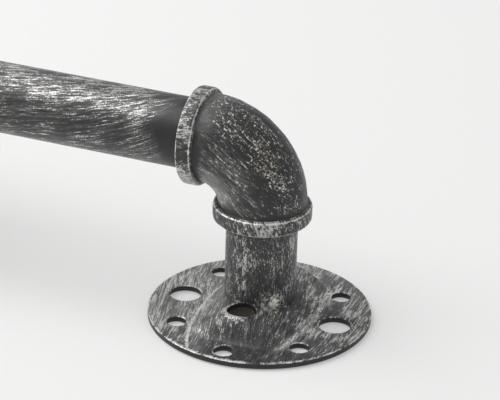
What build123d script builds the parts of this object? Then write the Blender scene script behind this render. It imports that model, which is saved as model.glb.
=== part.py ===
from build123d import *

import math
import os

# Pipe-style wall sconce: pressed wall plate, welded stub, elbow, upright arm and a screw-in lamp.
# Millimetres. The origin is the centre of the wall plate on the wall's surface. +Z is up, along the arm,
# and -Y points out of the wall, along the stub. Each piece is written to parts/ under its own name.

# Pipes and the fittings that hold them
PIPE_OD = 26.7
PIPE_WALL = 1.6
SLIP = 0.08  # radial clearance of a pipe in a fitting's socket
SOCKET_DEPTH = 11.0
SHOULDER = 2.8  # ledge at the bottom of a socket, which stops the pipe
FITTING_WALL = 3.1  # metal of a fitting round its socket
BAND_STEP = 1.9  # how far an end band stands out from a fitting
BAND_WIDTH = 6.0
BAND_ROUND = 1.2

# Where the arm runs
STUB_EXPOSED = 30.0  # stub between the hump's crest and the elbow
ELBOW_THROAT = 5.47  # radius on the inside of the elbow's bend
ARM_EXPOSED = 110.0  # arm pipe between the elbow and the lamp cup
SWIVEL_GAP = 0.2  # end of the stub to the elbow's inner ledge

# Wall plate
PLATE_D = 84.0
PLATE_T = 2.4
RIM_ROUND = 0.5
HUMP_RISE = 8.8  # crest of the pressed hump above the plate's face
HUMP_WIDTH = 41.0  # across the middle of the hump, along the arm
HUMP_END_WIDTH = 31.6  # across its ends
HUMP_FALL = 7.8  # length of the fall at each end of the level crest
HUMP_RIM = 10.2  # flat rim left beyond the hump's ends
HUMP_STATIONS = 14  # sections on each side of the middle one
HUMP_END_WALL = 0.6  # how far the hollow's ends stay back, as a share of the sheet
FOOT_SINK = 0.3  # how far the hump's sections start inside the plate
END_DIP = 0.2  # how far the hump's ends dip inside the plate
SCREW_HOLE_D = 7.2
SCREW_INSET = 9.2  # centres of the four diagonal screw holes in from the rim
SCREW_ANGLE = 41.5  # degrees from the arm's line to the diagonal screw holes
END_INSET = 6.5  # centres of the two screw holes at the hump's ends in from the rim
LARGE_HOLE_D = 12.0  # the two large holes, in line with the arm
LARGE_INSET = 11.8
SIDE_HOLE_D = 10.9  # hole in the hump, beside the stub
SIDE_HOLE_LAP = 0.6  # how far that hole runs under the stub's wall
CABLE_HOLE_D = 16.0
TACK_DEPTH = 4.4  # tacks, out from the stub
TACK_HEIGHT = 6.6  # tacks, up the stub
TACK_PROUD = 0.3  # how far the middle of a tack stands out from the stub
TACK_LIFT = 2.4  # and up from the hump
TACK_ARC = 22.0  # degrees round the stub
TACK_SEAT = 0.03
TACK_ANGLES = (132.0, 312.0)

# Wiring
FLEX_D = 6.6
CORE_D = 2.2
CORE_RING = 1.35  # radius of the circle that the cores lie on inside the flex
CORE_BEND = 3.0
FLEX_STRAIGHT = 2.0  # straight flex at each end of the elbow's bend
BLOCK_SLIP = 0.3
BLOCK_SEAT = 0.15
BLOCK_HEIGHT = 12.0
POLE_RING = 6.0
POLE_WALL = 1.0
POLE_INSET = 1.0  # brass tube's end in from the face of the block
POLE_ANGLES = (90.0, 210.0, 330.0)
CORE_SLIP = 0.1
CORE_ENTRY = 4.0  # how far a core goes into its terminal
CORE_SPLAY = 5.5  # length over which the cores spread
CORE_STRAIGHT = 1.5  # straight core at each end of the spread
CLAMP_SCREW_D = 2.5
CLAMP_SLIP = 0.1
CLAMP_INSET = 3.2  # clamp screws in from either end of the block

# Lamp cup at the top of the arm
NECK_SHOULDER = 4.0  # neck above the end of the arm pipe
FLARE_LENGTH = 14.0
CUP_WALL = 2.6
CUP_DEPTH = 54.0  # ledge of the holder plate to the mouth
CUP_GAP = 2.6  # radial gap between the cup and the lampholder
SEAT_LEDGE = 3.5
MOUTH_STEP = 1.8
MOUTH_WIDTH = 7.0

# Threaded tube, nuts and earth tag
TUBE_OD = 10.0
TUBE_WALL = 1.4
TUBE_BELOW = 10.0  # tube below the holder plate
TUBE_IN_HOLDER = 8.0
TUBE_SLIP = 0.05
HOLDER_PLATE_T = 2.0
HOLDER_PLATE_SLIP = 0.15
NUT_ACROSS = 14.0
NUT_HEIGHT = 3.0
TAG_T = 0.8
TAG_CLEAR = 1.1  # gap between the lower nut's corners and the crimp barrel
TAG_WIDTH = 4.0
BARREL_WALL = 0.6
BARREL_LENGTH = 5.0

# Lampholder
LAMP_THREAD_D = 26.4
THREAD_SLIP = 0.3
SHELL_T = 0.45
SHELL_SLIP = 0.1
SHELL_HEIGHT = 23.0
SKIRT_WALL = 4.0
SKIRT_ABOVE_SHELL = 1.5
COLLAR_WALL = 2.2  # skirt's wall where it screws over the holder cap
COLLAR_SLIP = 0.08
COLLAR_HEIGHT = 7.0
CAP_NECK_WALL = 3.0
CAP_NECK_HEIGHT = 7.0
CAP_CONE_HEIGHT = 8.0
CAP_BAND_HEIGHT = 5.0
CAP_WALL = 2.4
INSERT_FLANGE_T = 3.0
INSERT_BOSS = 6.0
INSERT_SLIP = 0.3
CONTACT_T = 0.5
CONTACT_RISE = 2.0
CONTACT_WIDTH = 6.0
CONTACT_FLAT = 2.6  # half-length of the tongue's flat end
CONTACT_FOOT = 5.0  # lamp's axis to where the tongue bends up
CONTACT_LAP = 1.0  # contact past the middle of its terminal screw
CONTACT_RING = 1.7  # side contact's width inside the shell
TERMINAL_RING = 9.0
TERMINAL_SCREW_D = 3.0
TERMINAL_HEAD_D = 5.2
TERMINAL_HEAD_T = 1.8
TERMINAL_SLIP = 0.1
GRUB_D = 3.0
GRUB_SLIP = 0.05

# Lamp
BULB_D = 64.0
BULB_LENGTH = 140.0
BULB_DOME = 44.0  # widest part of the glass to its top
BULB_FLARE = 0.3  # outward lean where the glass leaves its neck, per unit of height
GLASS_T = 0.9
NECK_SLIP = 0.25
NECK_BELOW = 7.0  # glass neck inside the cap
NECK_ABOVE = 3.0  # straight glass neck above the cap
CAP_HEIGHT = 27.0
CAP_T = 0.35
CAP_LIP = 1.7
TIP_R = 4.5
TIP_FLAT_R = 2.2
TIP_HEIGHT = 2.2
TIP_SLIP = 0.05
INSULATOR_FOOT = 1.2
INSULATOR_TOP = 7.0
INSULATOR_EDGE = 1.0  # glass round the tip
STEM_R = 3.6
STEM_HEIGHT = 42.0
STEM_SEAT = 2.5  # height of the flare that closes the neck
BUTTON_R = 5.0
BUTTON_HEIGHT = 5.0
LED_R = 0.9
LED_LENGTH = 38.0
LED_FOOT_R = 9.0  # circle of the strips' feet
LED_HEAD_R = 15.0  # circle of the strips' heads
LED_COUNT = 4
WIRE_R = 0.4
SPIDER_SHARES = (0.05, 0.95)  # places of the two spiders of wires along the strips
WIRE_SEAT = 0.05
BOARD_WIDTH = 14.0
BOARD_T = 1.0
BOARD_HEIGHT = 11.0
BOARD_SEAT = 0.2

# Radii that several pieces share
PIPE_R = PIPE_OD / 2
PIPE_BORE_R = PIPE_R - PIPE_WALL
SOCKET_R = PIPE_R + SLIP
PASSAGE_R = SOCKET_R - SHOULDER
FITTING_R = SOCKET_R + FITTING_WALL
BAND_R = FITTING_R + BAND_STEP
BEND_R = FITTING_R + ELBOW_THROAT
TUBE_R = TUBE_OD / 2
TUBE_HOLE_R = TUBE_R + TUBE_SLIP
CORE_R = CORE_D / 2
CORE_HOLE_R = CORE_R + CORE_SLIP
POLE_R = CORE_HOLE_R + POLE_WALL
BLOCK_R = PIPE_BORE_R - BLOCK_SLIP
LAMP_CAP_R = LAMP_THREAD_D / 2
SHELL_BORE_R = LAMP_CAP_R + THREAD_SLIP
SHELL_R = SHELL_BORE_R + SHELL_T
SKIRT_BORE_R = SHELL_R + SHELL_SLIP
SKIRT_R = SKIRT_BORE_R + SKIRT_WALL
COLLAR_R = SKIRT_R - COLLAR_WALL
SPIGOT_R = COLLAR_R - COLLAR_SLIP
CAP_CAVITY_R = SPIGOT_R - CAP_WALL
CAP_NECK_R = TUBE_HOLE_R + CAP_NECK_WALL
CUP_BORE_R = SKIRT_R + CUP_GAP
CUP_R = CUP_BORE_R + CUP_WALL
BARREL_R = CORE_HOLE_R + BARREL_WALL
TAG_REACH = NUT_ACROSS / math.sqrt(3) + TAG_CLEAR + BARREL_R
GLASS_NECK_R = LAMP_CAP_R - CAP_T - NECK_SLIP

# Distances out from the wall, along the stub
HUMP_REACH = PLATE_D / 2 - HUMP_RIM
HUMP_LEVEL = HUMP_REACH - HUMP_FALL
CREST = PLATE_T + HUMP_RISE
ELBOW_END = CREST + STUB_EXPOSED
ELBOW_REACH = BEND_R + BAND_WIDTH
ARM_OFFSET = ELBOW_END + ELBOW_REACH
STUB_TOP = ELBOW_END + SOCKET_DEPTH - SWIVEL_GAP
BLOCK_FOOT = CREST + BLOCK_SEAT
BLOCK_TOP = BLOCK_FOOT + BLOCK_HEIGHT
SPLAY_FOOT = BLOCK_TOP + CORE_STRAIGHT
SPLAY_TOP = SPLAY_FOOT + CORE_SPLAY

# Heights above the plate's centre, along the arm
ARM_FOOT = ELBOW_REACH - SOCKET_DEPTH
CUP_FOOT = ELBOW_REACH + ARM_EXPOSED
ARM_TOP = CUP_FOOT + SOCKET_DEPTH
NECK_TOP = ARM_TOP + NECK_SHOULDER
SEAT = NECK_TOP + FLARE_LENGTH
MOUTH = SEAT + CUP_DEPTH
FLEX_TOP = CUP_FOOT + BAND_WIDTH
PLATE_TOP = SEAT + HOLDER_PLATE_T
TAG_FOOT = SEAT - TAG_T
BARREL_FOOT = TAG_FOOT - BARREL_LENGTH
TUBE_FOOT = SEAT - TUBE_BELOW
HOLDER_FOOT = PLATE_TOP + NUT_HEIGHT
TUBE_TOP = HOLDER_FOOT + TUBE_IN_HOLDER
CAP_NECK_TOP = HOLDER_FOOT + CAP_NECK_HEIGHT
CONE_TOP = CAP_NECK_TOP + CAP_CONE_HEIGHT
COLLAR_FOOT = CONE_TOP + CAP_BAND_HEIGHT
COLLAR_TOP = COLLAR_FOOT + COLLAR_HEIGHT
INSERT_TOP = COLLAR_TOP + INSERT_FLANGE_T
INSERT_FOOT = COLLAR_TOP - INSERT_BOSS
SCREW_HEAD_FOOT = INSERT_FOOT - TERMINAL_HEAD_T
SHELL_FOOT = INSERT_TOP + CONTACT_T
SHELL_TOP = SHELL_FOOT + SHELL_HEIGHT
SKIRT_TOP = SHELL_TOP + SKIRT_ABOVE_SHELL
TIP = INSERT_TOP + CONTACT_RISE + CONTACT_T
LAMP_CAP_FOOT = TIP + INSULATOR_TOP
LAMP_CAP_TOP = TIP + CAP_HEIGHT
GLASS_FOOT = LAMP_CAP_TOP - NECK_BELOW
STEM_TOP = GLASS_FOOT + STEM_HEIGHT

# Frames of the two pipes: local Z runs out of the wall along the stub, or up the arm
STUB_AXIS = Plane(origin=(0, 0, 0), x_dir=(0, 0, 1), z_dir=(0, -1, 0))
ARM_AXIS = Plane(origin=(0, -ARM_OFFSET, 0), x_dir=(1, 0, 0), z_dir=(0, 0, 1))

ON_FOOT = (Align.CENTER, Align.CENTER, Align.MIN)


def turned(*outline):
    """Solid of revolution about Z from an outline of (radius, height) corners."""
    corners = [(radius, 0, height) for radius, height in outline]
    return revolve(make_face(Polyline(*corners, close=True)), Axis.Z)


def ring(outer, inner, foot, top):
    """Plain tube about Z between two heights."""
    return turned((inner, foot), (outer, foot), (outer, top), (inner, top))


def rod(radius, foot, top):
    """Plain bar about Z between two heights."""
    return turned((0, foot), (radius, foot), (radius, top), (0, top))


def bar_between(start, end, radius):
    """Plain round bar from one point to another."""
    start, end = Vector(*start), Vector(*end)
    return Plane(origin=start, z_dir=end - start) * Cylinder(radius, (end - start).length, align=ON_FOOT)


def tube_along(points, radius, bend):
    """Round bar along straight runs joined by tangent arcs of one radius."""
    path = FilletPolyline(*points, radius=bend)
    return sweep(Plane(origin=path @ 0, z_dir=path % 0) * Circle(radius), path=path)


def polar(radius, angle, height):
    """Point at a radius and an angle in degrees about Z."""
    turn = math.radians(angle)
    return (radius * math.cos(turn), radius * math.sin(turn), height)


def group(solids):
    """Separate solids of one node."""
    return Compound(children=[piece.solid() for piece in solids])


def end_band():
    """Rounded band round a fitting's end, from height 0 up."""
    band = rod(BAND_R, 0, BAND_WIDTH)
    return fillet(band.edges().filter_by(GeomType.CIRCLE), BAND_ROUND)


# Wall plate and stub, modelled on the stub's axis with the arm along local X


def crest_rise(station):
    """Height of the hump's crest above the plate: level in the middle, then an S-shaped fall."""
    run = (abs(station) - HUMP_LEVEL) / (HUMP_REACH - HUMP_LEVEL)
    run = min(max(run, 0.0), 1.0)
    fall = run * run * (3 - 2 * run)
    return HUMP_RISE - (HUMP_RISE + END_DIP) * fall


def hump_half_width(station):
    """Half the hump's width: an ellipse that narrows from the middle to the ends."""
    narrowing = 1 - (HUMP_END_WIDTH / HUMP_WIDTH) ** 2
    return HUMP_WIDTH / 2 * math.sqrt(1 - narrowing * (station / HUMP_REACH) ** 2)


def hump(sheet):
    """Arched hump lowered, narrowed and shortened for a sheet's thickness, as a loft of arches."""
    arches = []
    held_back = HUMP_END_WALL * sheet
    for index in range(-HUMP_STATIONS, HUMP_STATIONS + 1):
        station = (HUMP_REACH - held_back) * index / HUMP_STATIONS
        half = hump_half_width(station) - sheet
        foot = PLATE_T - FOOT_SINK - sheet
        apex = PLATE_T + crest_rise(abs(station) + held_back) - sheet
        left, right = (-half, station, foot), (half, station, foot)
        arches.append(make_face([ThreePointArc(left, (0, station, apex), right), Line(right, left)]))
    return loft(arches)


def hump_height(across, station):
    """Height of the hump's outer face above the wall, from the arch at that station."""
    half, rise = hump_half_width(station), crest_rise(station) + FOOT_SINK
    arch_r = (half * half + rise * rise) / (2 * rise)
    return PLATE_T + crest_rise(station) - arch_r + math.sqrt(arch_r**2 - across**2)


def plate_drills():
    """Drills through the plate: six screw holes, two large holes, the side hole and the cable hole."""
    depth = 2 * (CREST + PLATE_T)
    drills = [Cylinder(CABLE_HOLE_D / 2, depth)]
    side_offset = PIPE_R - SIDE_HOLE_LAP + SIDE_HOLE_D / 2
    drills.append(Pos(0, side_offset, 0) * Cylinder(SIDE_HOLE_D / 2, depth))
    for half_turn in (0, 180):
        spots = [
            (LARGE_HOLE_D, LARGE_INSET, half_turn),
            (SCREW_HOLE_D, END_INSET, half_turn + 90),
            (SCREW_HOLE_D, SCREW_INSET, half_turn + SCREW_ANGLE),
            (SCREW_HOLE_D, SCREW_INSET, half_turn - SCREW_ANGLE),
        ]
        for size, inset, angle in spots:
            drills.append(Pos(*polar(PLATE_D / 2 - inset, angle, 0)) * Cylinder(size / 2, depth))
    return drills


def wall_plate():
    """Pressed disc with its hump and its holes."""
    disc = rod(PLATE_D / 2, 0, PLATE_T)
    rim = disc.edges().filter_by(GeomType.CIRCLE).sort_by(Axis.Z)[-1]
    pressed = fillet(rim, RIM_ROUND) + hump(0) - hump(PLATE_T)
    for drill in plate_drills():
        pressed -= drill
    return pressed


def stub_pipe():
    """Pipe welded upright on the hump, its foot cut to the arch."""
    return ring(PIPE_R, PIPE_BORE_R, PLATE_T, STUB_TOP) - hump(0)


def foot_welds():
    """Weld tacks: short upright beads laid in the corner between the stub and the hump."""
    beads = []
    for angle in TACK_ANGLES:
        across, along, _ = polar(PIPE_R, angle, 0)
        middle = Pos(PIPE_R + TACK_PROUD, hump_height(across, along) + TACK_LIFT)
        section = Plane.XZ * (middle * Ellipse(TACK_DEPTH / 2, TACK_HEIGHT / 2))
        bead = Rot(0, 0, angle - TACK_ARC / 2) * revolve(section, Axis.Z, revolution_arc=TACK_ARC)
        bead -= rod(PIPE_R + TACK_SEAT, 0, STUB_TOP)
        bead -= hump(-TACK_SEAT)
        beads.append(bead.solids().sort_by(Axis.Z)[-1])
    return group(beads)


# Terminal block and the flex inside the stub


def clamp_screws(radius, inner):
    """Radial screws at both ends of every pole, from an inner radius to the block's face."""
    screws = []
    for angle in POLE_ANGLES:
        for height in (BLOCK_FOOT + CLAMP_INSET, BLOCK_TOP - CLAMP_INSET):
            ends = polar(inner, angle, height), polar(BLOCK_R, angle, height)
            screws.append(bar_between(*ends, radius))
    return screws


def terminal_block():
    """Round three-pole block that stands on the hump inside the stub."""
    block = rod(BLOCK_R, BLOCK_FOOT, BLOCK_TOP)
    for angle in POLE_ANGLES:
        block -= Pos(*polar(POLE_RING, angle, 0)) * rod(POLE_R, BLOCK_FOOT, BLOCK_TOP)
    for hole in clamp_screws(CLAMP_SCREW_D / 2 + CLAMP_SLIP, POLE_RING):
        block -= hole
    return block


def terminal_tubes():
    """Brass tube of each pole, open at both ends for the wires."""
    tube = ring(POLE_R, CORE_HOLE_R, BLOCK_FOOT + POLE_INSET, BLOCK_TOP)
    return group([Pos(*polar(POLE_RING, angle, 0)) * tube for angle in POLE_ANGLES])


def terminal_screws():
    """Clamp screws, each ending on the outside of its brass tube."""
    return group(clamp_screws(CLAMP_SCREW_D / 2, POLE_RING + POLE_R + CLAMP_SLIP))


def base_core(angle):
    """Core from the flex in the stub, spreading out into one pole of the block."""
    points = [
        polar(CORE_RING, angle, SPLAY_TOP + CORE_STRAIGHT),
        polar(CORE_RING, angle, SPLAY_TOP),
        polar(POLE_RING, angle, SPLAY_FOOT),
        polar(POLE_RING, angle, BLOCK_TOP - CORE_ENTRY),
    ]
    return tube_along(points, CORE_R, CORE_BEND)


def flex_base():
    """Sheathed flex on the stub's axis, up to where the elbow turns."""
    return rod(FLEX_D / 2, SPLAY_TOP + CORE_STRAIGHT, ELBOW_END)


# Elbow, arm and the flex inside them


def elbow():
    """Cast right-angle fitting with a rounded band and a pipe socket at each end."""
    ends = [(0, -ELBOW_END, 0), (0, -ARM_OFFSET, 0), (0, -ARM_OFFSET, ELBOW_REACH)]
    cast = tube_along(ends, FITTING_R, BEND_R)
    cast += ARM_AXIS * (Pos(0, 0, ELBOW_REACH - BAND_WIDTH) * end_band())
    cast += STUB_AXIS * (Pos(0, 0, ELBOW_END) * end_band())
    cast -= tube_along(ends, PASSAGE_R, BEND_R)
    cast -= ARM_AXIS * rod(SOCKET_R, ARM_FOOT, ELBOW_REACH)
    return cast - STUB_AXIS * rod(SOCKET_R, ELBOW_END, ELBOW_END + SOCKET_DEPTH)


def arm_pipe():
    """Upright pipe seated in the elbow and in the lamp cup."""
    return ring(PIPE_R, PIPE_BORE_R, ARM_FOOT, ARM_TOP)


def flex_arm():
    """Sheathed flex round the elbow and up the arm."""
    points = [(0, -ELBOW_END, 0), (0, -ARM_OFFSET, 0), (0, -ARM_OFFSET, FLEX_TOP)]
    return tube_along(points, FLEX_D / 2, ELBOW_REACH - FLEX_STRAIGHT)


# Lamp cup and what fixes the lampholder in it, modelled on the arm's axis


def lamp_cup():
    """Cast bell on the end of the arm, banded at both ends, with a ledge inside for the holder plate."""
    bell = turned(
        (SOCKET_R, CUP_FOOT),
        (FITTING_R, CUP_FOOT),
        (FITTING_R, NECK_TOP),
        (CUP_R, SEAT),
        (CUP_R, MOUTH),
        (CUP_BORE_R, MOUTH),
        (CUP_BORE_R, SEAT),
        (CUP_BORE_R - SEAT_LEDGE, SEAT),
        (PASSAGE_R, NECK_TOP),
        (PASSAGE_R, ARM_TOP),
        (SOCKET_R, ARM_TOP),
    )
    lower_band = Pos(0, 0, CUP_FOOT) * end_band() - rod(FITTING_R, CUP_FOOT, CUP_FOOT + BAND_WIDTH)
    mouth_r = CUP_R + MOUTH_STEP
    mouth = ring(mouth_r, CUP_R, MOUTH - MOUTH_WIDTH, MOUTH)
    circles = mouth.edges().filter_by(GeomType.CIRCLE)
    rims = [edge for edge in circles if edge.radius > CUP_R + MOUTH_STEP / 2]
    return bell + lower_band + fillet(rims, BAND_ROUND)


def holder_plate():
    """Steel disc on the cup's ledge, with a hole for the threaded tube."""
    return ring(CUP_BORE_R - HOLDER_PLATE_SLIP, TUBE_HOLE_R, SEAT, PLATE_TOP)


def threaded_tube():
    """Hollow tube that ties the holder plate to the lampholder."""
    return ring(TUBE_R, TUBE_R - TUBE_WALL, TUBE_FOOT, TUBE_TOP)


def lock_nuts():
    """Thin hexagon nuts below the earth tag and above the holder plate."""
    hexagon = RegularPolygon(NUT_ACROSS / 2, 6, major_radius=False) - Circle(TUBE_HOLE_R)
    nut = extrude(hexagon, NUT_HEIGHT)
    return group([Pos(0, 0, TAG_FOOT - NUT_HEIGHT) * nut, Pos(0, 0, PLATE_TOP) * nut])


def earth_tag():
    """Ring tag under the holder plate, with a crimp barrel for the earth core."""
    tongue = Pos(0, TAG_REACH / 2, TAG_FOOT) * Box(TAG_WIDTH, TAG_REACH, TAG_T, align=ON_FOOT)
    barrel = Pos(0, TAG_REACH, 0) * rod(BARREL_R, BARREL_FOOT, SEAT)
    bore = Pos(0, TAG_REACH, 0) * rod(CORE_HOLE_R, BARREL_FOOT, TAG_FOOT)
    eye = rod(NUT_ACROSS / 2, TAG_FOOT, SEAT)
    return eye + tongue + barrel - bore - rod(TUBE_HOLE_R, TAG_FOOT, SEAT)


def earth_core():
    """Earth core from the flex to the tag's barrel."""
    points = [
        polar(CORE_RING, 90, FLEX_TOP),
        polar(CORE_RING, 90, FLEX_TOP + CORE_STRAIGHT),
        polar(TAG_REACH, 90, BARREL_FOOT - CORE_STRAIGHT),
        polar(TAG_REACH, 90, BARREL_FOOT + CORE_ENTRY),
    ]
    return tube_along(points, CORE_R, CORE_BEND)


def lamp_core(side):
    """Live or neutral core through the threaded tube to a terminal screw, on the +X or -X side."""
    near, far, offset = side * CORE_RING, side * TERMINAL_RING, -CORE_RING / 2
    points = [
        (near, offset, FLEX_TOP),
        (near, offset, TUBE_TOP),
        (far, offset, SCREW_HEAD_FOOT - CORE_STRAIGHT),
        (far, offset, SCREW_HEAD_FOOT),
    ]
    return tube_along(points, CORE_R, CORE_BEND)


# Lampholder


def grub_screw(radius, start, end):
    """Radial bar through the holder cap's neck, from one radius to another."""
    height = (HOLDER_FOOT + CAP_NECK_TOP) / 2
    return bar_between((start, 0, height), (end, 0, height), radius)


def holder_cap():
    """Moulded cap that screws on the threaded tube and carries the insert on its spigot."""
    cap = turned(
        (TUBE_HOLE_R, HOLDER_FOOT),
        (CAP_NECK_R, HOLDER_FOOT),
        (CAP_NECK_R, CAP_NECK_TOP),
        (SKIRT_R, CONE_TOP),
        (SKIRT_R, COLLAR_FOOT),
        (SPIGOT_R, COLLAR_FOOT),
        (SPIGOT_R, COLLAR_TOP),
        (CAP_CAVITY_R, COLLAR_TOP),
        (CAP_CAVITY_R, CONE_TOP),
        (TUBE_HOLE_R, TUBE_TOP),
    )
    return cap - grub_screw(GRUB_D / 2 + GRUB_SLIP, TUBE_R - TUBE_WALL, CAP_NECK_R + GRUB_D / 2)


def holder_grub_screw():
    """Screw that locks the holder cap on the threaded tube, flush with the neck."""
    return grub_screw(GRUB_D / 2, TUBE_HOLE_R, CAP_NECK_R)


def holder_insert():
    """Ceramic insert: a flange on the cap's spigot and a boss inside it, drilled for the screws."""
    insert = rod(SPIGOT_R, COLLAR_TOP, INSERT_TOP)
    insert += rod(CAP_CAVITY_R - INSERT_SLIP, INSERT_FOOT, COLLAR_TOP)
    drill = rod(TERMINAL_SCREW_D / 2 + TERMINAL_SLIP, INSERT_FOOT, INSERT_TOP)
    for side in (-1, 1):
        insert -= Pos(side * TERMINAL_RING, 0, 0) * drill
    return insert


def holder_terminal_screws():
    """Screws under the insert that clamp the live and neutral cores and hold the contacts."""
    screw = rod(TERMINAL_SCREW_D / 2, INSERT_FOOT, INSERT_TOP)
    screw += rod(TERMINAL_HEAD_D / 2, SCREW_HEAD_FOOT, INSERT_FOOT)
    return group([Pos(side * TERMINAL_RING, 0, 0) * screw for side in (-1, 1)])


def holder_skirt():
    """Moulded sleeve that screws over the cap and clamps the insert under its shoulder."""
    return turned(
        (COLLAR_R, COLLAR_FOOT),
        (SKIRT_R, COLLAR_FOOT),
        (SKIRT_R, SKIRT_TOP),
        (SKIRT_BORE_R, SKIRT_TOP),
        (SKIRT_BORE_R, INSERT_TOP),
        (COLLAR_R, INSERT_TOP),
    )


def screw_shell():
    """Thin shell that takes the lamp's cap."""
    return ring(SHELL_R, SHELL_BORE_R, SHELL_FOOT, SHELL_TOP)


def side_contact():
    """Flat brass ring under the shell, with a tab to the neutral terminal screw."""
    tab_end = TERMINAL_RING - CONTACT_LAP - TERMINAL_SCREW_D / 2
    tab_length = SHELL_BORE_R - tab_end
    tab = Box(tab_length, CONTACT_WIDTH, CONTACT_T, align=ON_FOOT)
    tab = Pos(-tab_end - tab_length / 2, 0, INSERT_TOP) * tab
    return ring(SHELL_R, SHELL_BORE_R - CONTACT_RING, INSERT_TOP, SHELL_FOOT) + tab


def centre_contact():
    """Bent brass tongue from the live terminal screw up to the lamp's tip."""
    foot, lifted = INSERT_TOP, INSERT_TOP + CONTACT_RISE
    far = TERMINAL_RING + CONTACT_LAP
    under = [(far, foot), (CONTACT_FOOT, foot), (CONTACT_FLAT, lifted), (-CONTACT_FLAT, lifted)]
    over = [(x, height + CONTACT_T) for x, height in reversed(under)]
    profile = make_face(Polyline(*[(x, 0, height) for x, height in under + over], close=True))
    return extrude(profile, CONTACT_WIDTH / 2, dir=(0, 1, 0), both=True)


# Lamp


def bulb_tip():
    """Solder contact at the foot of the lamp, rounded off underneath."""
    top = TIP + TIP_HEIGHT
    return turned((0, TIP), (TIP_FLAT_R, TIP), (TIP_R, TIP + INSULATOR_FOOT), (TIP_R, top), (0, top))


def cap_insulator():
    """Dark glass cone between the tip and the cap's shell."""
    recess_r, recess_top = TIP_R + TIP_SLIP, TIP + TIP_HEIGHT + TIP_SLIP
    return turned(
        (recess_r, TIP + INSULATOR_FOOT),
        (recess_r + INSULATOR_EDGE, TIP + INSULATOR_FOOT),
        (LAMP_CAP_R - CAP_LIP, LAMP_CAP_FOOT),
        (0, LAMP_CAP_FOOT),
        (0, recess_top),
        (recess_r, recess_top),
    )


def bulb_cap():
    """Thin lamp cap, closed in over the insulator at its foot."""
    inner_r = LAMP_CAP_R - CAP_T
    return turned(
        (0, LAMP_CAP_FOOT),
        (LAMP_CAP_R - CAP_LIP, LAMP_CAP_FOOT),
        (LAMP_CAP_R, LAMP_CAP_FOOT + CAP_LIP),
        (LAMP_CAP_R, LAMP_CAP_TOP),
        (inner_r, LAMP_CAP_TOP),
        (inner_r, LAMP_CAP_FOOT + CAP_LIP),
        (LAMP_CAP_R - CAP_LIP, LAMP_CAP_FOOT + CAP_T),
        (0, LAMP_CAP_FOOT + CAP_T),
    )


def glass_body(inset):
    """Solid of the glass drawn in by an inset: a straight neck, a swelling side and a round top."""
    neck_r = GLASS_NECK_R - inset
    crown = (0, 0, TIP + BULB_LENGTH - inset)
    wide = (BULB_D / 2 - inset, 0, TIP + BULB_LENGTH - BULB_DOME)
    neck_foot, neck_top = (neck_r, 0, GLASS_FOOT), (neck_r, 0, LAMP_CAP_TOP + NECK_ABOVE)
    side = Spline(neck_top, wide, tangents=[(BULB_FLARE, 0, 1), (0, 0, 1)])
    dome = Spline(wide, crown, tangents=[(0, 0, 1), (-1, 0, 0)])
    axis_foot = (0, 0, GLASS_FOOT)
    edges = [Line(neck_foot, neck_top), side, dome, Line(crown, axis_foot), Line(axis_foot, neck_foot)]
    return revolve(make_face(edges), Axis.Z)


def bulb_glass():
    """Pear-shaped glass with an open neck."""
    return glass_body(0) - glass_body(GLASS_T)


def bulb_stem():
    """Glass stem: a flare that closes the neck, a slim column and a button on top."""
    flare_r = GLASS_NECK_R - GLASS_T
    return turned(
        (0, GLASS_FOOT),
        (flare_r, GLASS_FOOT),
        (flare_r, GLASS_FOOT + STEM_SEAT / 2),
        (STEM_R, GLASS_FOOT + 2 * STEM_SEAT),
        (STEM_R, STEM_TOP - BUTTON_HEIGHT),
        (BUTTON_R, STEM_TOP - BUTTON_HEIGHT / 2),
        (BUTTON_R, STEM_TOP - BUTTON_HEIGHT / 4),
        (STEM_R, STEM_TOP),
        (0, STEM_TOP),
    )


def led_angles():
    """Directions of the light strips about the lamp's axis."""
    return [360 * index / LED_COUNT for index in range(LED_COUNT)]


def led_filaments():
    """Light strips that stand in a crown above the stem, leaning out."""
    strips = []
    for angle in led_angles():
        foot = polar(LED_FOOT_R, angle, STEM_TOP)
        head = polar(LED_HEAD_R, angle, STEM_TOP + LED_LENGTH)
        strips.append(bar_between(foot, head, LED_R))
    return group(strips)


def filament_wires():
    """Post on the stem with a spider of wires at the feet of the strips and another at their heads."""
    wires = rod(2 * WIRE_R, STEM_TOP, STEM_TOP + LED_LENGTH)
    for share in SPIDER_SHARES:
        height = STEM_TOP + LED_LENGTH * share
        reach = LED_FOOT_R + (LED_HEAD_R - LED_FOOT_R) * share - LED_R - WIRE_SEAT
        for angle in led_angles():
            wires += bar_between((0, 0, height), polar(reach, angle, height), WIRE_R)
    return wires


def driver_board():
    """Circuit board that feeds the strips, standing in the cap."""
    foot = LAMP_CAP_FOOT + CAP_T + BOARD_SEAT
    return Pos(0, 0, foot) * Box(BOARD_WIDTH, BOARD_T, BOARD_HEIGHT, align=ON_FOOT)


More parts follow.
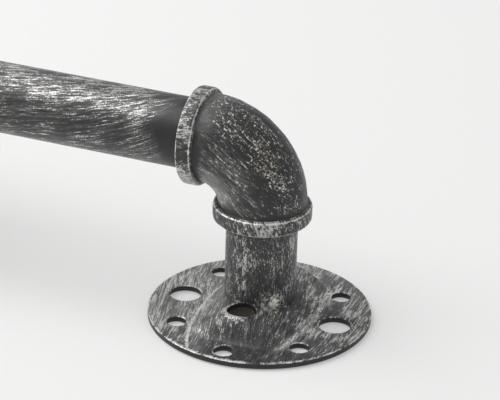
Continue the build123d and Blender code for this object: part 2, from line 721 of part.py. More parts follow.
def pieces():
    """Every piece by name, in the sconce's own frame."""
    on_stub = {
        "wall_plate": wall_plate(),
        "stub_pipe": stub_pipe(),
        "foot_welds": foot_welds(),
        "terminal_block": terminal_block(),
        "terminal_tubes": terminal_tubes(),
        "terminal_screws": terminal_screws(),
        "live_core_base": base_core(POLE_ANGLES[0]),
        "neutral_core_base": base_core(POLE_ANGLES[1]),
        "earth_core_base": base_core(POLE_ANGLES[2]),
        "flex_base": flex_base(),
    }
    on_arm = {
        "arm_pipe": arm_pipe(),
        "lamp_cup": lamp_cup(),
        "holder_plate": holder_plate(),
        "threaded_tube": threaded_tube(),
        "lock_nuts": lock_nuts(),
        "earth_tag": earth_tag(),
        "earth_core_lamp": earth_core(),
        "live_core_lamp": lamp_core(1),
        "neutral_core_lamp": lamp_core(-1),
        "holder_cap": holder_cap(),
        "holder_grub_screw": holder_grub_screw(),
        "holder_insert": holder_insert(),
        "holder_terminal_screws": holder_terminal_screws(),
        "holder_skirt": holder_skirt(),
        "screw_shell": screw_shell(),
        "side_contact": side_contact(),
        "centre_contact": centre_contact(),
        "bulb_tip": bulb_tip(),
        "cap_insulator": cap_insulator(),
        "bulb_cap": bulb_cap(),
        "bulb_glass": bulb_glass(),
        "bulb_stem": bulb_stem(),
        "led_filaments": led_filaments(),
        "filament_wires": filament_wires(),
        "driver_board": driver_board(),
    }
    placed = {"elbow": elbow(), "flex_arm": flex_arm()}
    placed.update({name: STUB_AXIS * piece for name, piece in on_stub.items()})
    placed.update({name: ARM_AXIS * piece for name, piece in on_arm.items()})
    return placed


def main():
    """Write each piece to its own file."""
    os.makedirs("parts", exist_ok=True)
    for name, piece in pieces().items():
        export_step(piece, f"parts/{name}.step")


main()
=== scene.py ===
import math

import bpy
import numpy as np
from mathutils import Matrix, Vector


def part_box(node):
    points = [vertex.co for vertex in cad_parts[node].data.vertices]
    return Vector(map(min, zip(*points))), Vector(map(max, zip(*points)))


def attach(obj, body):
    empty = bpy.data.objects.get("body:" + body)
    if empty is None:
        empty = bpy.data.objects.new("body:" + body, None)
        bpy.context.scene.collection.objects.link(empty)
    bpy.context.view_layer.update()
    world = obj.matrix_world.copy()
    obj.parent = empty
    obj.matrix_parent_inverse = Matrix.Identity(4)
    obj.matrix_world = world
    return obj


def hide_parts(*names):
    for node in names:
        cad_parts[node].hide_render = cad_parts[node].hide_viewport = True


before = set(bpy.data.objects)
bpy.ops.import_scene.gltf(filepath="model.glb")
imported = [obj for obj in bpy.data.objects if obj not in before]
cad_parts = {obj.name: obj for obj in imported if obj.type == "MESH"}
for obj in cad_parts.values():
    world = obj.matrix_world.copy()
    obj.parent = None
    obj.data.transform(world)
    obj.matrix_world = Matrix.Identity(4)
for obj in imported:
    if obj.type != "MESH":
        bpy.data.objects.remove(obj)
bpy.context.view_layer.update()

# Pipe-style wall sconce. Shapes are worked out in millimetres and written to the meshes in metres.
# The wall is the plane y = 0, the stub runs out of it along -Y and the arm stands up along +Z.

MM = 0.001


def corners_of(node):
    """Lowest and highest corner of a node, in millimetres."""
    low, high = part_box(node)
    return np.array(low) / MM, np.array(high) / MM


def round_size(node):
    """Radius, foot and top of a node that is round about the arm's axis."""
    low, high = corners_of(node)
    return high[0], low[2], high[2]


# Sizes read from the frame
plate_low, plate_high = corners_of("wall_plate")
stub_low, stub_high = corners_of("stub_pipe")
elbow_low, elbow_high = corners_of("elbow")
PLATE_R = plate_high[0]
CREST = -plate_low[1]
PIPE_R = stub_high[0]
STUB_TOP = -stub_low[1]
BAND_R = elbow_high[0]
ELBOW_END = -elbow_high[1]
ARM_OFFSET = -elbow_low[1] - BAND_R
ELBOW_REACH = elbow_high[2]
ARM_FOOT, ARM_TOP = round_size("arm_pipe")[1:]
MOUTH_R, CUP_FOOT, MOUTH = round_size("lamp_cup")
SKIRT_R, SKIRT_FOOT, SKIRT_TOP = round_size("holder_skirt")
SHELL_R, SHELL_FOOT, SHELL_TOP = round_size("screw_shell")
CAP_R, CAP_FOOT, CAP_TOP = round_size("bulb_cap")
GLASS_R, GLASS_FOOT, GLASS_TOP = round_size("bulb_glass")
STEM_FOOT, STEM_TOP = round_size("bulb_stem")[1:]
STRIP_TOP = round_size("led_filaments")[2]

# Fineness of the grids
SAME_POINT = 1e-5  # points of an outline that lie closer than this are one
ARC_STEPS = 4
PLATE_STEP = 0.45
EDGE_RINGS = 3
STUB_ROWS, STUB_SEGMENTS = 44, 112
TACK_ROWS, TACK_SEGMENTS = 33, 40
ELBOW_STEP, ELBOW_SEGMENTS = 0.55, 200
ARM_STEP, ARM_SEGMENTS = 1.2, 128
CUP_STEP, CUP_SEGMENTS = 0.9, 176
SKIRT_STEP, SKIRT_SEGMENTS = 1.5, 240
SLEEVE_STEP, SLEEVE_SEGMENTS = 0.18, 144
LIP_STEPS = 5
GLASS_ROWS, GLASS_SEGMENTS = 44, 128
STEM_SEGMENTS = 64
STRIP_ROWS, STRIP_SEGMENTS = 41, 14

# Pipes and fittings
PIPE_WALL = 1.6
PIPE_END_ROUND = 0.4
PIPE_LUMPS = 0.02
PIPE_SKIN = 0.2  # depth below a pipe's radius that still counts as its outside
FITTING_R = BAND_R - 1.9
FITTING_SKIN = 0.5
CAST_LUMPS = 0.07  # how far the cast skin wanders in and out
SOCKET_R = PIPE_R + 0.08
SOCKET_DEPTH = 11.0
SOCKET_ROUND = 0.3
PASSAGE_R = SOCKET_R - 2.8
BAND_WIDTH = 6.0
BAND_ROUND = 1.2
BAND_FILLET = 0.7
BAND_SPOT = 0.35  # how far inside a band's corner its brightest wear lies
STROKE_LEAN = math.radians(37.0)  # of the straight strokes over the elbow, from the arm's axis

# Wall plate
PLATE_T = 2.4
EDGE_ROUND = 0.4
EDGE_WEAR = 0.62
CUT_WEAR = 0.1  # where the rounded edge ends and the sheet's cut face begins
HUMP_RISE = CREST - PLATE_T
HUMP_WIDTH = 41.0
HUMP_END_WIDTH = 31.6
HUMP_NARROWING = 1 - (HUMP_END_WIDTH / HUMP_WIDTH) ** 2
HUMP_REACH = PLATE_R - 10.2
HUMP_LEVEL = HUMP_REACH - 7.8
HUMP_END_WALL = 0.6
LEAST_LIFT = 0.02
FOOT_SINK = 0.3
END_DIP = 0.2
CREASE = 1.3  # softness of the crease at the hump's foot
SCREW_HOLE_R = 3.6
LARGE_HOLE_R = 6.0
SIDE_HOLE_R = 5.45
CABLE_HOLE_R = 8.0
SCREW_RING = PLATE_R - 9.2
SCREW_ANGLE = 41.5
END_RING = PLATE_R - 6.5
LARGE_RING = PLATE_R - 11.8
SIDE_HOLE_OUT = PIPE_R - 0.6 + SIDE_HOLE_R
TACK_ANGLES = (132.0, 312.0)
TACK_ARC = 24.0
TACK_DEPTH = 4.2
TACK_HEIGHT = 6.8
TACK_PROUD = 0.3
TACK_LIFT = 2.5
TACK_POWER = 0.42  # how bluntly a tack ends
SPLASH_R = 6.6

# Lamp cup
NECK_TOP = ARM_TOP + 4.0
SEAT = NECK_TOP + 14.0
CUP_R = MOUTH_R - 1.8
CUP_BORE_R = CUP_R - 2.6
CUP_FLARE = 6.0
SEAT_LEDGE = 3.5
MOUTH_WIDTH = 7.0
MOUTH_FILLET = MOUTH_R - CUP_R - BAND_ROUND  # takes what the mouth's rounded edge leaves of its step
MOUTH_LIP = 0.6

# Lampholder and lamp
SKIRT_BORE_R = SHELL_R + 0.1
SKIRT_SEAT_R = SKIRT_R - 2.2
SKIRT_SEAT = SHELL_FOOT - 0.5
RIB_WAVES = 20
RIB_DEPTH = 0.45
THREAD_PITCH = 25.4 / 7
THREAD_DEPTH = 1.0
THREAD_POWER = 0.8
THREAD_FADE = 1.5
SHELL_T = 0.3
CAP_LIP = 1.7
GLASS_T = 0.9
GLASS_NECK_R = 12.6
NECK_ABOVE = 3.0
GLASS_DOME = 44.0
# Tangents of the glass: at its crown, above and below its widest place, and at its neck
CROWN_PULL = np.array([1.62 * GLASS_R, 0.0])
DOME_PULL = np.array([0.0, -1.45 * GLASS_DOME])
SIDE_PULL = np.array([0.0, -62.0])
NECK_PULL = np.array([-18.0, -60.0])
STEM_R = 3.6
FLARE_R = GLASS_NECK_R - GLASS_T - 0.05
BUTTON_R = 5.0
STRIP_R = 0.9
STRIP_FOOT_R = 9.0
STRIP_HEAD_R = 15.0
STRIP_COUNT = 4

# Stage, in metres
WALL_HALF = 2.5
WALL_GAP = 0.0003
LIGHT_AIM = (0.0, -0.05, 0.08)
LIGHT_AWAY = 1.6
LIGHT_SIZE = 1.5

# Camera, fitted to the photograph's 500 by 400 frame
CAMERA_AIM = (-1.71, -47.8, 4.35)
CAMERA_LIFT = 26.05  # degrees above the wall's plane
CAMERA_TURN = 21.46  # degrees from straight across the arm
CAMERA_ROLL = 1.54
CAMERA_AWAY = 1000.0
CAMERA_LENS = 195.57

# Curves and outlines


def ramp(low, high, value):
    """Smooth step from 0 to 1 between two limits: 3t^2 - 2t^3."""
    share = np.clip((value - low) / (high - low), 0.0, 1.0)
    return share * share * (3 - 2 * share)


def softly_above(value, floor, softness):
    """Larger of a value and a floor, with the corner between them rounded into a hyperbola."""
    half = (value - floor) / 2
    return floor + half + np.sqrt(half * half + softness * softness / 4)


def bell(distance, width):
    """Bell curve: 1 at no distance, and exp(-(d / w)^2) further off."""
    return np.exp(-(distance / width) ** 2)


def lumps(points, size, seed, waves=40):
    """Uneven surface between about -1 and 1: a sum of plane sine waves in seeded directions."""
    draw = np.random.default_rng(seed)
    heading = draw.normal(size=(waves, 3))
    heading /= np.linalg.norm(heading, axis=1)[:, None]
    length = size * draw.uniform(0.6, 1.8, waves)
    phase = draw.uniform(0, 2 * math.pi, waves)
    angle = points @ (heading * (2 * math.pi / length)[:, None]).T + phase
    return np.sin(angle).sum(axis=-1) / math.sqrt(waves)


def rounded(corners):
    """Outline through (radius, height, round) corners, each turned into an arc that touches its sides."""
    corners = np.array(corners, float)
    points, rounds = corners[:, :2], corners[:, 2]
    back = np.roll(points, 1, axis=0) - points
    ahead = np.roll(points, -1, axis=0) - points
    back /= np.linalg.norm(back, axis=1)[:, None]
    ahead /= np.linalg.norm(ahead, axis=1)[:, None]
    half = np.arccos(np.clip((back * ahead).sum(axis=1), -1, 1)) / 2
    outline = []
    for point, before, after, half_angle, radius in zip(points, back, ahead, half, rounds):
        if radius == 0:
            outline.append(point[None])
            continue
        inward = (before + after) / np.linalg.norm(before + after)
        centre = point + inward * radius / math.sin(half_angle)
        sideways = np.array([-inward[1], inward[0]])
        sideways *= np.sign(sideways @ before)
        sweep = np.linspace(1, -1, ARC_STEPS + 1)[:, None] * (math.pi / 2 - half_angle)
        outline.append(centre + radius * (np.sin(sweep) * sideways - np.cos(sweep) * inward))
    return np.concatenate(outline)


def divided(outline, step):
    """The same closed outline with every stretch longer than a step cut into equal parts, and a point that
    two arcs share kept once."""
    pieces = []
    for start, end in zip(outline, np.roll(outline, -1, axis=0)):
        gap = np.linalg.norm(end - start)
        if gap < SAME_POINT:
            continue
        count = math.ceil(gap / step)
        pieces.append(start + (end - start) * (np.arange(count) / count)[:, None])
    return np.concatenate(pieces)


def turns(count):
    """Angles evenly round a circle."""
    return np.arange(count) * (2 * math.pi / count)


def swept(outline, segments):
    """Radius, run and angle of every point of a (radius, run) outline at every step of a full turn."""
    angle = turns(segments) + 0 * outline[:, :1]
    return outline[:, :1] + 0 * angle, outline[:, 1:] + 0 * angle, angle


def polar(radius, angle, third):
    """Points at a radius and an angle, with a third coordinate along the axis."""
    rows = np.broadcast_arrays(radius * np.cos(angle), radius * np.sin(angle), third)
    return np.stack(rows, axis=-1)


def on_stub(across, along, out):
    """Points given across the hump, along it and out of the wall, in the sconce's own frame."""
    return np.stack([-along, -out, across], axis=-1)


def on_arm(radius, angle, height):
    """Points at a radius and angle about the arm's axis and a height, in the sconce's own frame."""
    return polar(radius, angle, height) - [0.0, ARM_OFFSET, 0.0]


# From arrays to pieces


def net(rows, columns, wrap_rows=True, wrap_columns=True):
    """Quads between the neighbouring rows and columns of a grid of points."""
    index = np.arange(rows * columns).reshape(rows, columns)
    if wrap_rows:
        index = np.vstack([index, index[:1]])
    if wrap_columns:
        index = np.hstack([index, index[:, :1]])
    corners = [index[:-1, :-1], index[1:, :-1], index[1:, 1:], index[:-1, 1:]]
    return np.stack(corners, axis=-1).reshape(-1, 4)


def pointed(grid):
    """Points and faces of a grid whose first and last rows are one point each: quads between the other rows,
    and a fan of triangles at each end."""
    rows, columns = grid.shape[:2]
    points = np.vstack([grid[0, :1], grid[1:-1].reshape(-1, 3), grid[-1, :1]])
    first = 1 + np.arange(columns)
    last = first + (rows - 3) * columns
    head, tail = np.zeros(columns, int), np.full(columns, len(points) - 1)
    fans = [(head, first, np.roll(first, -1)), (tail, np.roll(last, -1), last)]
    return points, [1 + net(rows - 2, columns, wrap_rows=False), *(np.stack(fan, axis=-1) for fan in fans)]


def outward(points, faces):
    """The faces turned so that the volume they enclose, summed over corner triangles, is positive."""
    volume = 0.0
    for group in faces:
        for corner in range(1, group.shape[1] - 1):
            a, b, c = (points[group[:, k]] for k in (0, corner, corner + 1))
            volume += (a * np.cross(b, c)).sum()
    return faces if volume > 0 else [group[:, ::-1] for group in faces]


def add_piece(name, points, body, node, finish, attributes=None, faces=None, sharp=40.0):
    """Object at the origin from points in millimetres, in place of a node and riding on a body. Its faces are
    arrays of triangles and quads; a grid of points without them closes on itself both ways. An attribute is
    one number, or a number or vector for each point."""
    faces = faces or [net(*points.shape[:2])]
    points = points.reshape(-1, 3)
    faces = outward(points, faces)
    mesh = bpy.data.meshes.new(name)
    sides = np.concatenate([np.full(len(group), group.shape[1]) for group in faces])
    loops = np.concatenate([group.ravel() for group in faces])
    mesh.vertices.add(len(points))
    mesh.vertices.foreach_set("co", (points * MM).astype(np.float32).ravel())
    mesh.loops.add(len(loops))
    mesh.loops.foreach_set("vertex_index", loops.astype(np.int32))
    mesh.polygons.add(len(sides))
    mesh.polygons.foreach_set("loop_start", (np.cumsum(sides) - sides).astype(np.int32))
    mesh.update(calc_edges=True)
    mesh.polygons.foreach_set("use_smooth", np.ones(len(sides), bool))
    mesh.set_sharp_from_angle(angle=math.radians(sharp))
    for key, values in (attributes or {}).items():
        values = np.asarray(values, np.float32)
        kind, field = ("FLOAT_VECTOR", "vector") if values.shape[-1:] == (3,) else ("FLOAT", "value")
        spread = values.ravel() if values.shape else np.full(len(points), values)
        mesh.attributes.new(key, kind, "POINT").data.foreach_set(field, spread)
    mesh.materials.append(finish)
    piece = bpy.data.objects.new(name, mesh)
    bpy.context.collection.objects.link(piece)
    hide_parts(node)
    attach(piece, body)


# Finishes


class Wire:
    """Output of a shader node. Arithmetic on wires adds Math nodes to their finish."""

    def __init__(self, finish, socket):
        self.finish = finish
        self.socket = socket

    def math(self, operation, first, second):
        return self.finish.node("ShaderNodeMath", {"operation": operation}, {0: first, 1: second})

    def __add__(self, other):
        return self.math("ADD", self, other)

    def __radd__(self, other):
        return self.math("ADD", other, self)

    def __sub__(self, other):
        return self.math("SUBTRACT", self, other)

    def __rsub__(self, other):
        return self.math("SUBTRACT", other, self)

    def __mul__(self, other):
        return self.math("MULTIPLY", self, other)

    def __rmul__(self, other):
        return self.math("MULTIPLY", other, self)

    def __or__(self, other):
        return self.math("MAXIMUM", self, other)


class Finish:
    """A material with one Principled surface, whose sockets take numbers, colours or wires."""

    def __init__(self, name):
        self.material = bpy.data.materials.new(name)
        self.material.use_nodes = True
        self.nodes = self.material.node_tree.nodes
        self.links = self.material.node_tree.links
        self.nodes.clear()
        self.output = self.nodes.new("ShaderNodeOutputMaterial")

    def node(self, kind, settings=None, sockets=None, output=0):
        """Any node: its settings are set first, then its sockets get values or links."""
        made = self.nodes.new(kind)
        for key, value in (settings or {}).items():
            setattr(made, key, value)
        for key, value in (sockets or {}).items():
            if isinstance(value, Wire):
                self.links.new(value.socket, made.inputs[key])
            else:
                made.inputs[key].default_value = value
        return Wire(self, made.outputs[output])

    def place(self, *stretch):
        """Object coordinates in millimetres, divided by a stretch along each axis."""
        here = self.node("ShaderNodeTexCoord", output="Object")
        scale = [1 / MM / value for value in (stretch or (1, 1, 1))]
        return self.node("ShaderNodeVectorMath", {"operation": "MULTIPLY"}, {0: here, 1: scale})

    def attribute(self, name, output="Fac"):
        """Value that the mesh carries under that name."""
        return self.node("ShaderNodeAttribute", {"attribute_name": name}, output=output)

    def noise(self, where, scale, detail=2.0, rough=0.5):
        """Soft noise about a half."""
        sockets = {"Vector": where, "Scale": scale, "Detail": detail, "Roughness": rough}
        return self.node("ShaderNodeTexNoise", None, sockets)

    def step(self, value, low, high):
        """Smooth step from 0 to 1 between two limits."""
        sockets = {"Value": value, "From Min": low, "From Max": high}
        return self.node("ShaderNodeMapRange", {"interpolation_type": "SMOOTHSTEP"}, sockets)

    def blend(self, share, first, second):
        """One colour or another by a share from 0 to 1."""
        sockets = {0: share, 6: first, 7: second}
        return self.node("ShaderNodeMix", {"data_type": "RGBA"}, sockets, output=2)

    def bump(self, height, strength, distance):
        """Normal raised by a height."""
        sockets = {"Height": height, "Strength": strength, "Distance": distance * MM}
        return self.node("ShaderNodeBump", None, sockets)

    def surface(self, sockets):
        """Finish the material with its Principled surface."""
        shader = self.node("ShaderNodeBsdfPrincipled", None, sockets)
        self.links.new(shader.socket, self.output.inputs["Surface"])
        return self.material


def grey(value, warmth=0.0):
    """Near-neutral linear colour."""
    return (value * (1 + warmth), value, value * (1 - warmth), 1.0)


def brushed_iron():
    """Charcoal paint dry-brushed with silver: bristle lines, specks on the grain and broken bright edges."""
    f = Finish("brushed_iron")
    place = f.place()
    reach, wear, cast = f.attribute("reach"), f.attribute("wear"), f.attribute("cast")
    brush = f.attribute("brush", "Vector")
    hair = f.noise(brush, 1.0, 2.0, 0.85)
    tuft = f.noise(brush, 0.3, 2.0, 0.6)
    fleck = f.noise(place, 1.15, 2.0, 0.66)
    speck = f.noise(place, 0.75, 2.5, 0.62)
    grit = f.noise(place, 1.7, 1.0, 0.5)
    patch = f.noise(place, 0.08, 2.0, 0.55)
    even = f.attribute("even")
    # The per-point reach holds painted light and shade as well as how far the brush reached.
    load = (f.step(patch * 0.55 + tuft * 0.45, 0.3, 0.62) * (1.0 - even) + 0.55 * even) * reach
    hair_edge, fleck_edge = 0.7 - 0.25 * load, 0.68 - 0.17 * load
    bristles = f.step(hair + (grit - 0.5) * 0.45, hair_edge, hair_edge + 0.16) * (1.0 - 0.85 * cast)
    flake = fleck * 0.6 + hair * 0.4 + (grit - 0.5) * 0.3
    specks = f.step(flake, fleck_edge, fleck_edge + 0.1) * (0.15 + 0.85 * cast)
    # Thin silver haze, plus the painted sheen that the mesh carries in its veil.
    haze_and_sheen = f.step(hair, 0.32, 0.62) * load * (0.27 - 0.24 * cast) + f.attribute("veil_and_sheen") * (0.4 + 1.2 * hair)
    rims = f.step(wear + (speck - 0.5) * 1.2 + (hair - 0.5) * 0.8, 0.36, 0.8)
    silver = (bristles | specks) * f.step(reach, 0.02, 0.3) | haze_and_sheen | rims
    dark = f.blend(f.noise(place, 0.35, 2.0), grey(0.012, 0.01), grey(0.028, 0.02))
    bright = f.blend(f.step(hair * 0.6 + tuft * 0.4, 0.38, 0.64), grey(0.52, 0.02), grey(0.84, 0.01))
    bright = f.blend(f.attribute("tint"), bright, (0.62, 0.6, 0.36, 1.0))
    height = speck * (0.25 + 0.75 * cast) + silver * 0.4 + hair * (0.25 - 0.25 * cast)
    return f.surface({
        "Base Color": f.blend(silver, dark, bright),
        "Metallic": silver * 0.45,
        "Roughness": 0.42 + (speck - 0.5) * 0.2,
        "Specular IOR Level": 0.4,
        "Normal": f.bump(height, 0.5, 0.25),
    })


def weld_metal():
    """Rough weld bead with silver over it, a little yellow from the heat."""
    f = Finish("weld_metal")
    place = f.place()
    crust = f.noise(place, 0.9, 3.0, 0.65)
    silver = f.step(crust + f.attribute("core") * 0.26, 0.47, 0.72)
    return f.surface({
        "Base Color": f.blend(silver, grey(0.03), (0.75, 0.74, 0.67, 1.0)),
        "Metallic": silver * 0.6,
        "Roughness": 0.55 - silver * 0.15,
        "Normal": f.bump(crust, 0.7, 0.4),
    })


def plain_metal(name, low, high, roughness, drawn):
    """Bare metal with faint drawn lines: noise stretched along Z, and dulled in patches."""
    f = Finish(name)
    lines = f.noise(f.place(0.25, 0.25, drawn), 1.0, 3.0, 0.6)
    dull = f.noise(f.place(), 0.2, 3.0, 0.6)
    return f.surface({
        "Base Color": f.blend(lines * 0.5 + dull * 0.5, low, high),
        "Metallic": 1.0,
        "Roughness": roughness + (dull - 0.5) * 0.22 + (lines - 0.5) * 0.12,
        "Normal": f.bump(lines, 0.15, 0.05),
    })


def moulded(name, low, high, roughness, grain, coat=0.0):
    """Moulded plastic, rubber or glazed ceramic: a slow shift of colour and a fine skin."""
    f = Finish(name)
    place = f.place()
    cloud = f.noise(place, 0.12, 3.0, 0.55)
    skin = f.noise(place, grain, 2.0, 0.6)
    return f.surface({
        "Base Color": f.blend(cloud, low, high),
        "Roughness": roughness + (cloud - 0.5) * 0.15 + (skin - 0.5) * 0.1,
        "Coat Weight": coat,
        "Normal": f.bump(skin, 0.25, 0.04),
    })


def earth_sleeve():
    """Green insulation with a yellow stripe that winds round it."""
    f = Finish("earth_sleeve")
    stripe = f.node("ShaderNodeTexWave", {"wave_profile": "SIN"},
                    {"Vector": f.place(), "Scale": 0.06, "Distortion": 1.0})
    return f.surface({
        "Base Color": f.blend(f.step(stripe, 0.45, 0.55), (0.03, 0.22, 0.05, 1.0), (0.72, 0.6, 0.05, 1.0)),
        "Roughness": 0.45,
        "Normal": f.bump(f.noise(f.place(), 1.5), 0.2, 0.05),
    })


def clear_glass(name, tint, smear):
    """Blown glass: clear, with faint smears in its gloss and a slow ripple."""
    f = Finish(name)
    cloud = f.noise(f.place(), 0.05, 3.0, 0.6)
    return f.surface({
        "Base Color": tint,
        "Roughness": f.step(cloud, 0.5, 0.8) * smear,
        "Transmission Weight": 1.0,
        "IOR": 1.45,
        "Normal": f.bump(f.noise(f.place(), 0.04, 1.0), 0.08, 0.5),
    })


def light_strip():
    """Phosphor coating over a row of chips that show as paler spots along each strip."""
    f = Finish("light_strip")
    height = f.node("ShaderNodeSeparateXYZ", None, {0: f.place()}, output=2)
    chips = f.node("ShaderNodeMath", {"operation": "SINE"}, {0: height * 4.2})
    skin = f.noise(f.place(), 1.4, 2.0)
    spots = f.step(chips + skin - 0.5, -0.2, 0.9)
    return f.surface({
        "Base Color": f.blend(spots, (0.80, 0.50, 0.07, 1.0), (0.94, 0.74, 0.24, 1.0)),
        "Roughness": 0.5 + (skin - 0.5) * 0.3,
        "Normal": f.bump(chips * 0.4 + skin, 0.3, 0.1),
    })


def circuit_board():
    """Green solder mask with paler tracks."""
    f = Finish("circuit_board")
    tracks = f.noise(f.place(1, 1, 3), 0.8, 1.0)
    return f.surface({
        "Base Color": f.blend(f.step(tracks, 0.5, 0.54), (0.02, 0.12, 0.04, 1.0), (0.07, 0.26, 0.09, 1.0)),
        "Roughness": 0.35 + tracks * 0.1,
        "Normal": f.bump(f.step(tracks, 0.5, 0.54), 0.3, 0.05),
    })


IRON = brushed_iron()
WELD = weld_metal()
BLACK = moulded("moulded_black", grey(0.012), grey(0.026, 0.02), 0.28, 1.6, coat=0.25)
CERAMIC = moulded("ceramic_white", grey(0.74, 0.03), grey(0.84, 0.02), 0.2, 0.4, coat=0.5)
CREAM = moulded("block_plastic", (0.70, 0.64, 0.50, 1.0), (0.82, 0.77, 0.64, 1.0), 0.42, 0.9)
SHEATH = moulded("flex_sheath", grey(0.018), grey(0.035), 0.5, 1.2)
BROWN = moulded("live_sleeve", (0.13, 0.05, 0.02, 1.0), (0.2, 0.085, 0.035, 1.0), 0.42, 1.2)
BLUE = moulded("neutral_sleeve", (0.03, 0.12, 0.4, 1.0), (0.06, 0.2, 0.55, 1.0), 0.42, 1.2)
STRIPED = earth_sleeve()
BRASS = plain_metal("brass", (0.52, 0.36, 0.12, 1.0), (0.75, 0.57, 0.25, 1.0), 0.3, 6.0)
ZINC = plain_metal("zinc_steel", grey(0.5, -0.02), grey(0.68, 0.02), 0.34, 8.0)
NICKEL = plain_metal("lamp_cap_metal", grey(0.6, 0.02), grey(0.78, 0.03), 0.24, 1.0)
SOLDER = plain_metal("solder", grey(0.45), grey(0.66), 0.42, 1.0)
WIRE = plain_metal("support_wire", grey(0.55, 0.03), grey(0.74, 0.04), 0.25, 5.0)
CAP_GLASS = moulded("cap_glass", grey(0.01), grey(0.02), 0.12, 0.5, coat=0.6)
GLASS = clear_glass("clear_glass", (1.0, 0.99, 0.97, 1.0), 0.06)
STRIP = light_strip()
BOARD = circuit_board()

# Wall plate


def hump_half_width(along):
    """Half the hump's width: an ellipse that narrows from the middle to the ends."""
    return HUMP_WIDTH / 2 * np.sqrt(1 - HUMP_NARROWING * (along / HUMP_REACH) ** 2)


def hump_height(across, along, sheet=0.0):
    """Height of the hump, or of its back under a sheet: at each place along it a circular arch through both
    feet and the crest, which falls away one for one beyond its feet and its ends."""
    station = np.abs(along) + HUMP_END_WALL * sheet
    rise = HUMP_RISE - (HUMP_RISE + END_DIP) * ramp(HUMP_LEVEL, HUMP_REACH, station)
    half = hump_half_width(np.clip(along, -HUMP_REACH, HUMP_REACH)) - sheet
    lift = np.maximum(rise + FOOT_SINK, LEAST_LIFT)
    arch = (half * half + lift * lift) / (2 * lift)
    inside = np.minimum(np.abs(across), half)
    beyond = np.abs(across) - inside + np.maximum(station - HUMP_REACH, 0.0)
    return PLATE_T - sheet + rise - arch + np.sqrt(arch * arch - inside * inside) - beyond


def plate_top(across, along):
    """Pressed face: the flat disc and the hump with a soft crease between them."""
    return softly_above(hump_height(across, along), PLATE_T, CREASE)


def plate_back(across, along):
    """Back of the sheet: flat on the wall, and hollow under the hump."""
    return softly_above(hump_height(across, along, PLATE_T), 0.0, CREASE)


def plate_circles():
    """Centres and radii of the plate's circles: cable hole, side hole, holes in rings, and last the rim."""
    circles = [(0.0, 0.0, CABLE_HOLE_R), (0.0, SIDE_HOLE_OUT, SIDE_HOLE_R)]
    for start in (0.0, 180.0):
        spots = [
            (LARGE_HOLE_R, LARGE_RING, start),
            (SCREW_HOLE_R, END_RING, start + 90),
            (SCREW_HOLE_R, SCREW_RING, start + SCREW_ANGLE),
            (SCREW_HOLE_R, SCREW_RING, start - SCREW_ANGLE),
        ]
        for radius, ring, angle in spots:
            turn = math.radians(angle)
            circles.append((ring * math.cos(turn), ring * math.sin(turn), radius))
    return np.array([*circles, (0.0, 0.0, PLATE_R)])


def splash_round_tacks(across, along, out):
    """Silver caught round each weld tack: a bell curve of the distance to its middle."""
    shares = []
    for tack in TACK_ANGLES:
        turn = math.radians(tack)
        spot_a, spot_b = PIPE_R * math.cos(turn), PIPE_R * math.sin(turn)
        spot_out = hump_height(spot_a, spot_b) + TACK_LIFT
        gap = np.sqrt((across - spot_a) ** 2 + (along - spot_b) ** 2 + (out - spot_out) ** 2)
        shares.append(bell(gap, SPLASH_R))
    return np.maximum(*shares)


